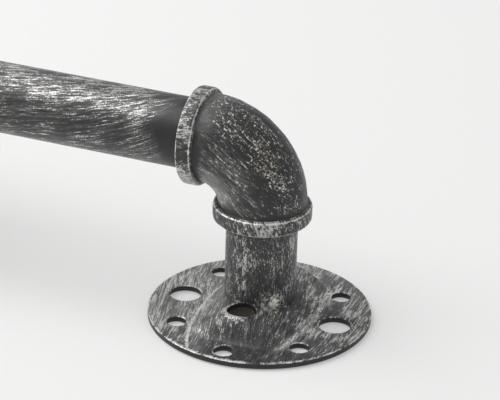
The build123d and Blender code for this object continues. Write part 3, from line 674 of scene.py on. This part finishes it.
def pressed_plate():
    """Square grid without the cells that reach a hole or the rim. Its border points slide straight out to the
    nearest circle, and a quarter-round profile is carried along that border down to the back of the sheet."""
    count = math.ceil(PLATE_R / PLATE_STEP)
    ticks = np.arange(-count, count + 1) * PLATE_STEP
    across, along = (axis.ravel() for axis in np.meshgrid(ticks, ticks, indexing="ij"))
    circles = plate_circles()
    centre_a, centre_b, radius = circles.T[:, :, None]
    metal = np.hypot(across - centre_a, along - centre_b) - radius
    metal[-1] *= -1  # the metal lies inside the rim
    nearest = metal.argmin(axis=0)
    metal = metal.min(axis=0)

    cells = net(len(ticks), len(ticks), wrap_rows=False, wrap_columns=False)
    cells = cells[(metal[cells] > EDGE_ROUND).all(axis=1)]
    kept = np.unique(cells)
    number = np.full(len(across), -1)
    number[kept] = np.arange(len(kept))
    cells = number[cells]
    across, along, metal, nearest = across[kept], along[kept], metal[kept], nearest[kept]

    # Border edges are those with a cell on one side only
    start, end = cells.ravel(), np.roll(cells, -1, axis=1).ravel()
    total = len(kept)
    lonely = ~np.isin(start * total + end, end * total + start)
    start, end = start[lonely], end[lonely]
    border = np.unique(start)
    middle_a, middle_b, size = circles[nearest[border]].T
    side = np.where(nearest[border] == len(circles) - 1, -1.0, 1.0)
    reach = np.hypot(across[border] - middle_a, along[border] - middle_b)
    way_a, way_b = (across[border] - middle_a) / reach, (along[border] - middle_b) / reach

    def ring(inset):
        """Border points at a distance from their hole's or the rim's edge."""
        return middle_a + way_a * (size + side * inset), middle_b + way_b * (size + side * inset)

    across[border], along[border] = ring(EDGE_ROUND)
    metal[border] = EDGE_ROUND
    edge_a, edge_b = ring(0.0)
    points = [on_stub(across, along, face(across, along)) for face in (plate_top, plate_back)]
    for angle in np.linspace(0, math.pi / 2, EDGE_RINGS + 1)[1:]:
        drop = EDGE_ROUND * (1 - math.cos(angle))
        inset = EDGE_ROUND * (1 - math.sin(angle))
        points.append(on_stub(*ring(inset), plate_top(edge_a, edge_b) - drop))
    points.append(on_stub(edge_a, edge_b, plate_back(edge_a, edge_b) + EDGE_ROUND))
    points = np.vstack(points)
    rounded_rings = EDGE_RINGS - 1
    face_wear = [0.6 * bell(metal - EDGE_ROUND, 0.5), np.zeros(total)]
    edge_wear = np.repeat([EDGE_WEAR] * rounded_rings + [CUT_WEAR, 0.0], len(border))
    wear = np.concatenate([*face_wear, edge_wear])
    on_face = np.repeat([1.0, 0.0, 1.0, 0.0], [total, total, rounded_rings * len(border), 2 * len(border)])

    # Rings run from the pressed face, down the edge, to the back
    place = np.full(total, -1)
    place[border] = np.arange(len(border))
    begin, finish = place[start], place[end]
    edge = 2 * total + np.arange((EDGE_RINGS + 1) * len(border)).reshape(EDGE_RINGS + 1, -1)
    rings = [border, *edge, total + border]
    walls = [np.stack([upper[finish], upper[begin], lower[begin], lower[finish]], axis=-1)
             for upper, lower in zip(rings[:-1], rings[1:])]
    faces = [np.vstack([cells, total + cells[:, ::-1], *walls])]
    silver = plate_silver(points, on_face, wear)
    add_piece("pressed_plate", points, "base", "wall_plate", IRON, silver, faces)


def plate_silver(points, on_face, edge_wear):
    """Where the brush left silver on the plate, with painted light, shade and sheen. Bell curves brighten the
    hump's two feet, the front of the rim, the lip of the side hole (worn, with a painted highlight) and the
    tacks' surroundings;
    ramps thin it as painted shade on the hump's slopes and at its front end, and thin it close to the stub."""
    across, along, out = points[:, 2], -points[:, 0], -points[:, 1]
    foot = np.abs(across) - hump_half_width(along)
    ridge = bell(foot, 1.0) * ramp(-18.0, -6.0, along) * (across > 0)
    fold = bell(foot - 0.8, 1.6) * ramp(34.0, 24.0, np.abs(along)) * (across < 0)
    from_middle = np.hypot(across, along)
    front = ramp(-0.1, 0.9, along / PLATE_R)
    rim = bell(np.maximum(PLATE_R - from_middle - EDGE_ROUND, 0.0), 0.5 + 0.8 * front) * front
    broken = 0.85 + 0.28 * lumps(points, 7.0, seed=51)
    # The side hole's lip: worn silver, with a painted highlight on the side that faces the light.
    from_hole = np.hypot(across, along - SIDE_HOLE_OUT)
    facing = (0.5 * across + 0.87 * (along - SIDE_HOLE_OUT)) / from_hole
    lip = bell(from_hole - SIDE_HOLE_R, 3.1) * ramp(-0.2, 0.7, facing)
    splash = splash_round_tacks(across, along, out)
    bright = [0.85 * ridge, 0.69 * fold, 0.75 * rim * broken, 0.8 * lip, 0.72 * splash]
    wear = np.maximum(edge_wear * broken, on_face * np.maximum.reduce(bright))

    # Painted light and shade: a little more silver towards the back left and the right, much less towards the
    # front right.
    far = ramp(-14.0, 22.0, across - 0.7 * along)
    painted_light = 1.32 + 0.1 * far + 0.1 * ramp(0.0, -20.0, across) - 0.75 * ramp(22.0, 36.0, along - 0.4 * across)
    # Painted shade: less silver on the hump's slopes and on its front fall.
    slope = ramp(PLATE_T + 0.8, PLATE_T + 3.0, out) * ramp(11.1, 10.0, out) * ramp(-12.0, 4.0, along)
    fall = ramp(HUMP_LEVEL - 7, HUMP_LEVEL + 2, along) * ramp(0.5, -3.0, foot)
    painted_shade = np.maximum(slope * (1 - ramp(4.0, 10.0, across)), 1.15 * fall)
    reach = painted_light * (0.5 + 0.5 * ramp(0.4, 5.0, from_middle - PIPE_R)) * (1 - 0.34 * painted_shade)
    reach = on_face * np.maximum.reduce([reach, 1.4 * lip, 1.4 * fold, 1.3 * splash])
    reach = np.maximum(reach, 0.35 * (out < 0.1))
    # Painted sheen: a pale veil over the back left and the back of the plate, weaker where the painted shade
    # lies.
    haze_and_sheen = np.maximum(0.01 + 0.17 * far, 0.11 * ramp(0.0, -24.0, along)) * (1 - 0.6 * painted_shade)
    shoulder = ramp(0.0, -1.0, foot) * ramp(-9.0, -2.0, foot) * (across > 0)
    veil_and_sheen = on_face * np.maximum.reduce([haze_and_sheen, 0.16 * fold, 0.13 * shoulder])
    swerve = across + (2.5 * np.sin(along / 17.0) + 0.12 * along) * ramp(-30.0, -6.0, across)
    brush = 2.0 * np.stack([swerve, along / 12.0, out / 6.0], axis=-1)
    return {"reach": reach, "wear": wear, "cast": 0.3, "brush": brush, "veil_and_sheen": veil_and_sheen, "even": 0.18}


# Stub and its weld tacks


def welded_stub():
    """Tube wall as a closed loop of rows round the stub's axis: up the outside from the arch it stands on,
    over the top and down the bore."""
    angle = turns(STUB_SEGMENTS)
    share = np.linspace(0, 1, STUB_ROWS)[:, None]
    inner_r = PIPE_R - PIPE_WALL
    shoulder = STUB_TOP - PIPE_END_ROUND
    foot_out, foot_in = (hump_height(r * np.cos(angle), r * np.sin(angle))[None] for r in (PIPE_R, inner_r))
    flat = np.ones_like(foot_out)
    level = flat + 0 * share
    radius = np.vstack([PIPE_R * level, (PIPE_R - PIPE_END_ROUND) * flat, (inner_r + PIPE_END_ROUND) * flat,
                        inner_r * level])
    out = np.vstack([foot_out + (shoulder - foot_out) * share, STUB_TOP * flat, STUB_TOP * flat,
                     shoulder + (foot_in - shoulder) * share])
    across, along = radius * np.cos(angle), radius * np.sin(angle)
    outside = radius > PIPE_R - PIPE_SKIN
    radius = radius - outside * PIPE_LUMPS * lumps(on_stub(across, along, out), 9.0, seed=3)
    points = on_stub(radius * np.cos(angle), radius * np.sin(angle), out)

    above = out - hump_height(across, along)
    direction = np.arctan2(along, across)
    turn = np.degrees(direction)
    # Painted light and shade: more silver down the side of the stub that faces the light, less just beside
    # it.
    painted_light = 0.92 + 0.25 * bell(turn - 76, 17) - 0.55 * bell(turn - 113, 19) + 0.16 * lumps(points, 7.0, seed=6)
    # Painted shadow under the elbow's band: little silver in the few millimetres below it.
    out_of_band_shadow = ramp(0.3, 3.5, ELBOW_END - out + lumps(points, 8.0, seed=5))
    splash = outside * splash_round_tacks(across, along, out)
    reach = painted_light * outside * out_of_band_shadow * (0.45 + 0.55 * ramp(0.2, 3.0, above))
    reach = np.maximum(reach, 1.3 * splash)
    wear = np.maximum(outside * 0.55 * bell(above, 0.8), 0.66 * splash)
    twist = direction + 0.02 * np.sin(out / 5.0) + 0.006 * out
    brush = 1.6 * polar(PIPE_R, twist, out / 3.2)
    silver = {"reach": reach, "wear": wear, "cast": 0.45, "brush": brush}
    add_piece("welded_stub", points, "base", "stub_pipe", IRON, silver)


def weld_tacks():
    """Each tack is a crusty bead: ellipses carried along a short arc of the stub's foot, swelling like a
    power of 1 - t^2 so that both ends close to a point; the whole swells and shrinks with lumps."""
    share = np.linspace(-1, 1, TACK_ROWS)[:, None]
    around = turns(TACK_SEGMENTS)
    swell = np.maximum(1 - share**2, 0.0) ** TACK_POWER
    core_r = PIPE_R + TACK_PROUD
    points, faces, cores, start = [], [], [], 0
    for tack in TACK_ANGLES:
        middle = math.radians(tack)
        turn = middle + share * math.radians(TACK_ARC / 2)
        foot = hump_height(PIPE_R * np.cos(turn), PIPE_R * np.sin(turn))
        radius = core_r + swell * np.cos(around) * TACK_DEPTH / 2
        out = foot + TACK_LIFT + swell * np.sin(around) * TACK_HEIGHT / 2
        bead, sides = pointed(polar(radius, turn, out))
        core = polar(core_r, middle, foot.mean() + TACK_LIFT)
        crust = 0.1 * lumps(bead, 3.2, seed=11) + 0.05 * lumps(bead, 1.3, seed=12)
        bead = core + (bead - core) * (1 + crust)[:, None]
        sideways = bead[:, :2] @ [-math.sin(middle), math.cos(middle)]
        cores.append(bell(sideways, 1.6) * bell(bead[:, 2] - core[2], 2.8))
        faces += [group + start for group in sides]
        points.append(on_stub(*bead.T))
        start += len(bead)
    add_piece("weld_tacks", np.vstack(points), "base", "foot_welds", WELD,
              {"core": np.concatenate(cores)}, faces, sharp=180.0)


# Elbow and arm


def cast_skin(unrolled, seed):
    """How far a cast wall wanders in and out: two layers of lumps."""
    return CAST_LUMPS * (lumps(unrolled, 5.0, seed) + 0.6 * lumps(unrolled, 2.2, seed + 1))


def band_edges(radius, run, rim, low, high):
    """Bright wear on the two rounded edges of a band with that rim, between two places on its run: a bell
    curve of the distance to the nearer edge."""
    near = [np.hypot(radius - rim + BAND_SPOT, run - edge) for edge in (low + BAND_SPOT, high - BAND_SPOT)]
    return 0.8 * bell(np.minimum(*near), 0.62)


def cast_elbow():
    """Closed outline of (radius, run) carried round a path of a straight, a quarter bend and a straight: out
    over each rounded band and along the bend, then back through the sockets and the passage."""
    bend = ELBOW_REACH - BAND_WIDTH
    length = 2 * BAND_WIDTH + bend * math.pi / 2
    far = length - BAND_WIDTH
    far_socket = length - SOCKET_DEPTH
    outline = divided(rounded([
        (SOCKET_R, 0.0, SOCKET_ROUND), (BAND_R, 0.0, BAND_ROUND), (BAND_R, BAND_WIDTH, BAND_ROUND),
        (FITTING_R, BAND_WIDTH, BAND_FILLET), (FITTING_R, far, BAND_FILLET), (BAND_R, far, BAND_ROUND),
        (BAND_R, length, BAND_ROUND), (SOCKET_R, length, SOCKET_ROUND), (SOCKET_R, far_socket, 0.0),
        (PASSAGE_R, far_socket, 0.0), (PASSAGE_R, SOCKET_DEPTH, 0.0), (SOCKET_R, SOCKET_DEPTH, 0.0),
    ]), ELBOW_STEP)
    radius, run, angle = swept(outline, ELBOW_SEGMENTS)
    skin = radius > FITTING_R - FITTING_SKIN
    body = ramp(BAND_WIDTH + 0.5, BAND_WIDTH + 3, run) * ramp(far - 0.5, far - 3, run)
    unrolled = polar(radius, angle, run)
    radius = radius + cast_skin(unrolled, 21) * (0.35 + 0.65 * body) * skin

    turn = np.clip((run - BAND_WIDTH) / bend, 0, math.pi / 2)
    before, after = np.minimum(run - BAND_WIDTH, 0), np.maximum(run - far, 0)
    # The bend's centre lies on the arm's side of the stub; away from it is the outside of the elbow
    out_y, out_z = -np.sin(turn), -np.cos(turn)
    x = radius * np.sin(angle)
    y = bend - ARM_OFFSET - before + (bend + radius * np.cos(angle)) * out_y
    z = bend + after + (bend + radius * np.cos(angle)) * out_z

    from_band = np.minimum(run - BAND_WIDTH, far - run)
    on_band = skin & (from_band < 0.15)
    away = np.arccos(np.cos(angle))  # angle from the outside of the bend
    margin = np.minimum(run - BAND_WIDTH + 0.8, far - run) * (1.0 + 0.25 * np.cos(angle))
    crescent = ramp(0.8, 3.2, margin + 0.7 * lumps(unrolled, 11.0, seed=23) - 0.6)
    crown = bell(away - 0.68, 0.22)
    speckled = 0.62 + 0.2 * ramp(1.0, 0.7, away) + 0.5 * crown
    speckled = speckled + (0.25 * ramp(0.5, 0.8, away) + 0.32 * crown) * ramp(30.0, 12.0, run)
    reach = np.where(on_band, 1.22 + 0.25 * run / length, speckled * crescent) * skin
    inner_veil = 0.2 * ramp(1.7, 2.05, away) * ramp(2.0, 9.0, from_band)
    # Painted light: a pale veil on the outer side of the bend, close to the band at the arm's end.
    painted_light_by_band = 0.1 * ramp(7.0, 2.0, far - run) * ramp(1.2, 0.9, away)
    veil_and_sheen = skin * ~on_band * np.maximum(inner_veil, painted_light_by_band)
    edges = [band_edges(radius, run, BAND_R, low, low + BAND_WIDTH) for low in (0, far)]
    inside_corner = ramp(0.2, 1.0, -np.cos(angle)) * ramp(5, 12, from_band)
    wear = np.maximum.reduce([*edges, 0.25 * inside_corner]) * skin
    around = polar(FITTING_R, angle + 0.012 * run, run / 3.2)
    stroke = y * math.sin(STROKE_LEAN) - z * math.cos(STROKE_LEAN)
    straight = np.stack([x, y * math.cos(STROKE_LEAN) + z * math.sin(STROKE_LEAN), stroke / 7.0], axis=-1)
    brush = np.where(on_band[..., None], 1.25 * around, 1.7 * straight)
    cast = np.where(on_band, 0.42, 0.95 - 0.75 * ramp(0.95, 1.4, away))
    warm = bell(angle - 5.65, 0.3) * bell(run - length * 0.46, 6.5) * skin
    silver = {"reach": reach, "wear": wear, "cast": cast, "brush": brush, "tint": 0.5 * warm, "veil_and_sheen": veil_and_sheen,
              "even": 0.55 * crown * skin}
    add_piece("cast_elbow", np.stack([x, y, z], axis=-1), "arm", "elbow", IRON, silver)


def arm_tube():
    """Tube wall as a closed outline carried round the arm's axis, with the brush marks fanning out from the
    elbow and dying away in front of each fitting."""
    inner_r = PIPE_R - PIPE_WALL
    ends = [(inner_r, ARM_FOOT), (PIPE_R, ARM_FOOT), (PIPE_R, ARM_TOP), (inner_r, ARM_TOP)]
    outline = divided(rounded([(*end, PIPE_END_ROUND) for end in ends]), ARM_STEP)
    radius, height, angle = swept(outline, ARM_SEGMENTS)
    outside = radius > PIPE_R - PIPE_SKIN
    unrolled = polar(radius, angle, height)
    radius = radius + outside * PIPE_LUMPS * lumps(unrolled, 14.0, seed=31)

    from_elbow, from_cup = height - ELBOW_REACH, CUP_FOOT - height
    uneven = lumps(unrolled, 16.0, seed=32)
    bare = 1.5 + 9.5 * np.exp((np.cos(angle - math.radians(206.0)) - 1) / 0.16) + 1.2 * uneven
    side = np.degrees(angle)
    # Painted light and shade: more silver on the side of the arm that faces the light, less on the sides
    # beyond it.
    painted_light = 1 + 0.15 * bell(side - 228, 13) - 0.3 * bell(side - 194, 16)
    painted_light = painted_light - 0.15 * ramp(186.0, 168.0, side) * ramp(60.0, 100.0, side)
    reach = painted_light * outside * ramp(0.0, 8.0, from_elbow - bare) * ramp(0.0, 7.0, from_cup - 2.0 - 1.5 * uneven)
    fan = 0.92 * np.exp(-np.maximum(from_elbow, 0.0) / 15.0)
    sweep = angle - fan + 0.014 * height + 0.02 * np.sin(height / 9.0)
    brush = 2.1 * polar(PIPE_R, sweep, height / 15.0)
    silver = {"reach": reach, "wear": 0.0, "cast": 0.15, "brush": brush, "even": 0.15}
    add_piece("arm_tube", on_arm(radius, angle, height), "arm", "arm_pipe", IRON, silver)


# Lamp cup


def cup_bell():
    """Closed outline carried round the arm's axis: banded foot, straight neck, flare, banded mouth, and back
    down past the ledge and the pipe socket."""
    band_top = CUP_FOOT + BAND_WIDTH
    mouth_foot = MOUTH - MOUTH_WIDTH
    outline = divided(rounded([
        (SOCKET_R, CUP_FOOT, SOCKET_ROUND), (BAND_R, CUP_FOOT, BAND_ROUND), (BAND_R, band_top, BAND_ROUND),
        (FITTING_R, band_top, BAND_FILLET), (FITTING_R, NECK_TOP, CUP_FLARE), (CUP_R, SEAT, CUP_FLARE),
        (CUP_R, mouth_foot, MOUTH_FILLET), (MOUTH_R, mouth_foot, BAND_ROUND), (MOUTH_R, MOUTH, BAND_ROUND),
        (CUP_BORE_R, MOUTH, MOUTH_LIP), (CUP_BORE_R, SEAT, 0.0), (CUP_BORE_R - SEAT_LEDGE, SEAT, 0.0),
        (PASSAGE_R, NECK_TOP, 0.0), (PASSAGE_R, ARM_TOP, 0.0), (SOCKET_R, ARM_TOP, 0.0),
    ]), CUP_STEP)
    radius, height, angle = swept(outline, CUP_SEGMENTS)
    bore = (radius < CUP_BORE_R + 0.2) & (height > SEAT - 0.5)
    skin = (radius > FITTING_R - FITTING_SKIN) & ~bore
    unrolled = polar(radius, angle, height)
    radius = radius + cast_skin(unrolled, 41) * skin

    on_band = skin & ((height < band_top + 0.1) | (height > mouth_foot - 0.1))
    from_band = np.minimum(height - band_top, mouth_foot - height)
    uneven = lumps(unrolled, 12.0, seed=43)
    reach = np.where(on_band, 1.3, 0.9 * ramp(0.6, 3.6, from_band + 0.8 * uneven)) * skin
    wear = np.maximum(band_edges(radius, height, BAND_R, CUP_FOOT, band_top),
                      band_edges(radius, height, MOUTH_R, mouth_foot, MOUTH)) * skin
    slant = angle + np.where(on_band, 0.0, 0.012 * height)
    brush = polar(CUP_R, slant, height / np.where(on_band, 3.2, 6.0))
    silver = {"reach": reach, "wear": wear, "cast": np.where(on_band, 0.42, 0.6), "brush": brush}
    add_piece("cup_bell", on_arm(radius, angle, height), "arm", "lamp_cup", IRON, silver)


# Lampholder and lamp


def thread_rise(angle, height, low, high):
    """Rolled thread: a rounded wave that climbs one pitch in a turn and fades at both heights."""
    wave = np.sin(2 * math.pi * height / THREAD_PITCH - angle)
    wave = np.sign(wave) * np.abs(wave) ** THREAD_POWER
    fade = ramp(low, low + THREAD_FADE, height) * ramp(high, high - THREAD_FADE, height)
    return (wave - 1) / 2 * THREAD_DEPTH * fade


def screw_sleeve(name, node, body, finish, outer_r, foot, top, thread_low, thread_high, lip):
    """Rolled sleeve about the lamp's axis: both faces carry the same thread, and the foot may curl in along
    a quarter circle to a lip."""
    rise = np.append(np.arange(foot + lip, top, SLEEVE_STEP), top)
    half = np.stack([np.full(len(rise), outer_r), rise], axis=-1)
    if lip:
        curl = np.arange(LIP_STEPS) / LIP_STEPS * math.pi / 2
        lipped = np.stack([outer_r - lip + lip * np.sin(curl), foot + lip - lip * np.cos(curl)], axis=-1)
        half = np.vstack([lipped, half])
    outline = np.vstack([half, half[::-1] - [SHELL_T, 0.0]])
    radius, height, angle = swept(outline, SLEEVE_SEGMENTS)
    radius = radius + thread_rise(angle, height, thread_low, thread_high)
    add_piece(name, on_arm(radius, angle, height), body, node, finish, sharp=60.0)


def holder_sleeve():
    """Moulded sleeve with a rounded rim and grip ribs: its outer radius dips by the square of a sine."""
    outline = divided(rounded([
        (SKIRT_SEAT_R, SKIRT_FOOT, 0.0), (SKIRT_R, SKIRT_FOOT, 0.3), (SKIRT_R, SKIRT_TOP, 1.4),
        (SKIRT_BORE_R, SKIRT_TOP, 0.8), (SKIRT_BORE_R, SKIRT_SEAT, 0.0), (SKIRT_SEAT_R, SKIRT_SEAT, 0.0),
    ]), SKIRT_STEP)
    radius, height, angle = swept(outline, SKIRT_SEGMENTS)
    ribs = np.sin(RIB_WAVES * angle) ** 2 * ramp(SKIRT_TOP - 2.5, SKIRT_TOP - 6.0, height)
    radius = radius - RIB_DEPTH * ribs * (radius > SKIRT_R - 0.5)
    add_piece("holder_sleeve", on_arm(radius, angle, height), "arm", "holder_skirt", BLACK)


def cubic(start, end, leave, arrive):
    """Hermite curve between two points with the given tangents."""
    t = np.linspace(0, 1, GLASS_ROWS)[:, None]
    return ((2 * t**3 - 3 * t**2 + 1) * start + (t**3 - 2 * t**2 + t) * leave
            + (3 * t**2 - 2 * t**3) * end + (t**3 - t**2) * arrive)


def glass_outline(inset):
    """Half outline of the glass from crown to foot: a cubic over the dome and another down the side."""
    crown = np.array([0.0, GLASS_TOP - inset])
    wide = np.array([GLASS_R - inset, GLASS_TOP - GLASS_DOME])
    neck = np.array([GLASS_NECK_R - inset, CAP_TOP + NECK_ABOVE])
    foot = np.array([GLASS_NECK_R - inset, GLASS_FOOT])
    dome = cubic(crown, wide, CROWN_PULL, DOME_PULL)
    side = cubic(wide, neck, SIDE_PULL, NECK_PULL)
    return np.vstack([dome[:-1], side, foot])


def blown(name, node, outline, segments, sharp):
    """Glass piece: an outline of (radius, height) with both ends on the arm's axis, carried round it."""
    radius, height, angle = swept(outline, segments)
    points, faces = pointed(on_arm(radius, angle, height))
    add_piece(name, points, "lamp", node, GLASS, faces=faces, sharp=sharp)


def glass_parts():
    """Glass bulb as one closed shell and the stem that closes its neck."""
    shell = np.vstack([glass_outline(0.0), glass_outline(GLASS_T)[::-1]])
    stem = rounded([
        (0.0, STEM_FOOT, 0.0), (FLARE_R, STEM_FOOT, 0.5), (FLARE_R, STEM_FOOT + 2.0, 1.0),
        (STEM_R, STEM_FOOT + 7.0, 3.0), (STEM_R, STEM_TOP - 6.0, 3.0), (BUTTON_R, STEM_TOP - 3.0, 1.2),
        (BUTTON_R, STEM_TOP - 1.6, 1.0), (STEM_R, STEM_TOP, 0.8), (0.0, STEM_TOP, 0.0),
    ])
    blown("clear_bulb", "bulb_glass", shell, GLASS_SEGMENTS, sharp=60.0)
    blown("glass_stem", "bulb_stem", stem, STEM_SEGMENTS, sharp=50.0)


def light_strips():
    """Slim capsules that lean out from the stem: circles along each strip, shrinking at both ends like the
    root of 1 - t^2."""
    share = np.linspace(0, 1, STRIP_ROWS)[:, None]
    length = STRIP_TOP - STEM_TOP
    end = np.minimum(share, 1 - share) * length / STRIP_R
    girth = STRIP_R * np.sqrt(np.clip(1 - (1 - np.clip(end, 0.02, 1)) ** 2, 0, 1))
    lean = STRIP_FOOT_R + (STRIP_HEAD_R - STRIP_FOOT_R) * share
    around = turns(STRIP_SEGMENTS)
    circle = np.arange(STRIP_SEGMENTS)[None]
    sides = [net(STRIP_ROWS, STRIP_SEGMENTS, wrap_rows=False), circle,
             circle[:, ::-1] + (STRIP_ROWS - 1) * STRIP_SEGMENTS]
    points, faces = [], []
    for index, heading in enumerate(turns(STRIP_COUNT)):
        middle = on_arm(lean, heading, STEM_TOP + length * share)
        points.append(middle + polar(girth, around, 0.0))
        faces += [group + index * STRIP_ROWS * STRIP_SEGMENTS for group in sides]
    add_piece("light_strips", np.stack(points), "lamp", "led_filaments", STRIP, faces=faces)


# Pieces whose frame shape is kept, with their finishes
KEPT = {
    "terminal_block": CREAM, "terminal_tubes": BRASS, "terminal_screws": ZINC, "live_core_base": BROWN,
    "neutral_core_base": BLUE, "earth_core_base": STRIPED, "flex_base": SHEATH, "flex_arm": SHEATH,
    "holder_plate": ZINC, "threaded_tube": ZINC, "lock_nuts": ZINC, "earth_tag": BRASS,
    "earth_core_lamp": STRIPED, "live_core_lamp": BROWN, "neutral_core_lamp": BLUE, "holder_cap": BLACK,
    "holder_grub_screw": ZINC, "holder_insert": CERAMIC, "holder_terminal_screws": ZINC,
    "side_contact": BRASS, "centre_contact": BRASS, "bulb_tip": SOLDER, "cap_insulator": CAP_GLASS,
    "filament_wires": WIRE, "driver_board": BOARD,
}


def dress_kept():
    """Give every kept piece its finish."""
    for node, finish in KEPT.items():
        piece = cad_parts[node]
        if not piece.material_slots:
            piece.data.materials.append(finish)
        for place in piece.material_slots:
            place.material = finish


# Stage, light and camera


def wall():
    """Pale wall behind the plate, seen from the front only and open to light from behind, but less so under
    the hump, which is an ellipse on the wall. Outside that ellipse the wall partly glows, which lightens the
    shadows cast on it."""
    f = Finish("pale_wall")
    back = f.node("ShaderNodeNewGeometry", output="Backfacing")
    place = f.place(HUMP_REACH, 1, HUMP_WIDTH / 2)
    across = f.node("ShaderNodeVectorMath", {"operation": "LENGTH"}, {0: place}, output="Value")
    open_wall = f.step(across, 0.99, 1.01)
    shadow = f.node("ShaderNodeLightPath", output="Is Shadow Ray") * (0.55 * open_wall + 0.45)
    paint = f.node("ShaderNodeBsdfDiffuse", None, {"Color": (0.82, 0.82, 0.815, 1.0)})
    clear = f.node("ShaderNodeBsdfTransparent")
    # Painted light: the wall's glow lightens the shadows cast on it.
    glow = f.node("ShaderNodeEmission", None, {"Color": (0.85, 0.85, 0.845, 1.0)})
    pale = f.node("ShaderNodeMixShader", None, {0: 0.4 * open_wall, 1: paint, 2: glow})
    mixed = f.node("ShaderNodeMixShader", None, {0: back | shadow, 1: pale, 2: clear})
    f.links.new(mixed.socket, f.output.inputs["Surface"])
    corners = [(x * WALL_HALF, WALL_GAP, z * WALL_HALF) for x, z in ((-1, -1), (1, -1), (1, 1), (-1, 1))]
    mesh = bpy.data.meshes.new("pale_wall")
    mesh.from_pydata(corners, [], [(0, 1, 2, 3)])
    mesh.materials.append(f.material)
    piece = bpy.data.objects.new("pale_wall", mesh)
    bpy.context.collection.objects.link(piece)


def light(name, toward, watts):
    """Square soft light in a direction from the middle of the sconce, aimed at it."""
    lamp = bpy.data.lights.new(name, "AREA")
    lamp.size = LIGHT_SIZE
    lamp.energy = watts
    piece = bpy.data.objects.new(name, lamp)
    direction = Vector(toward).normalized()
    piece.location = Vector(LIGHT_AIM) + direction * LIGHT_AWAY
    piece.rotation_euler = direction.to_track_quat("Z", "Y").to_euler()
    bpy.context.collection.objects.link(piece)


def surroundings():
    """Even pale light from all round."""
    world = bpy.data.worlds.new("studio")
    bpy.context.scene.world = world
    world.use_nodes = True
    back = world.node_tree.nodes["Background"]
    back.inputs["Color"].default_value = (0.88, 0.88, 0.88, 1.0)
    back.inputs["Strength"].default_value = 0.6


def camera():
    """Long lens that looks down on the wall plate across the arm, as in the photograph."""
    lift, turn, roll = (math.radians(value) for value in (CAMERA_LIFT, CAMERA_TURN, CAMERA_ROLL))
    ahead = Vector((math.cos(lift) * math.cos(turn), math.sin(lift), math.cos(lift) * math.sin(turn)))
    right = ahead.cross(Vector((0.0, -1.0, 0.0))).normalized()
    up = right.cross(ahead)
    right, up = math.cos(roll) * right + math.sin(roll) * up, math.cos(roll) * up - math.sin(roll) * right
    lens = bpy.data.cameras.new("camera")
    lens.lens = CAMERA_LENS
    lens.sensor_width = 36.0
    lens.sensor_fit = "HORIZONTAL"
    piece = bpy.data.objects.new("camera", lens)
    place = Vector(CAMERA_AIM) * MM - ahead * (CAMERA_AWAY * MM)
    piece.matrix_world = Matrix.Translation(place) @ Matrix((right, up, -ahead)).transposed().to_4x4()
    bpy.context.collection.objects.link(piece)
    bpy.context.scene.camera = piece


pressed_plate()
welded_stub()
weld_tacks()
cast_elbow()
arm_tube()
cup_bell()
holder_sleeve()
screw_sleeve("rolled_shell", "screw_shell", "arm", BRASS, SHELL_R, SHELL_FOOT, SHELL_TOP,
             SHELL_FOOT + 1.0, SHELL_TOP - 0.5, 0.0)
screw_sleeve("rolled_cap", "bulb_cap", "lamp", NICKEL, CAP_R, CAP_FOOT, CAP_TOP,
             CAP_FOOT + 2.0, CAP_TOP - 3.0, CAP_LIP)
glass_parts()
light_strips()
dress_kept()
wall()
light("key", (-0.12, -0.75, 0.6), 27.0)
light("back", (0.3, 0.9, 0.3), 14.0)
surroundings()
camera()
bpy.context.scene.view_settings.view_transform = "Standard"
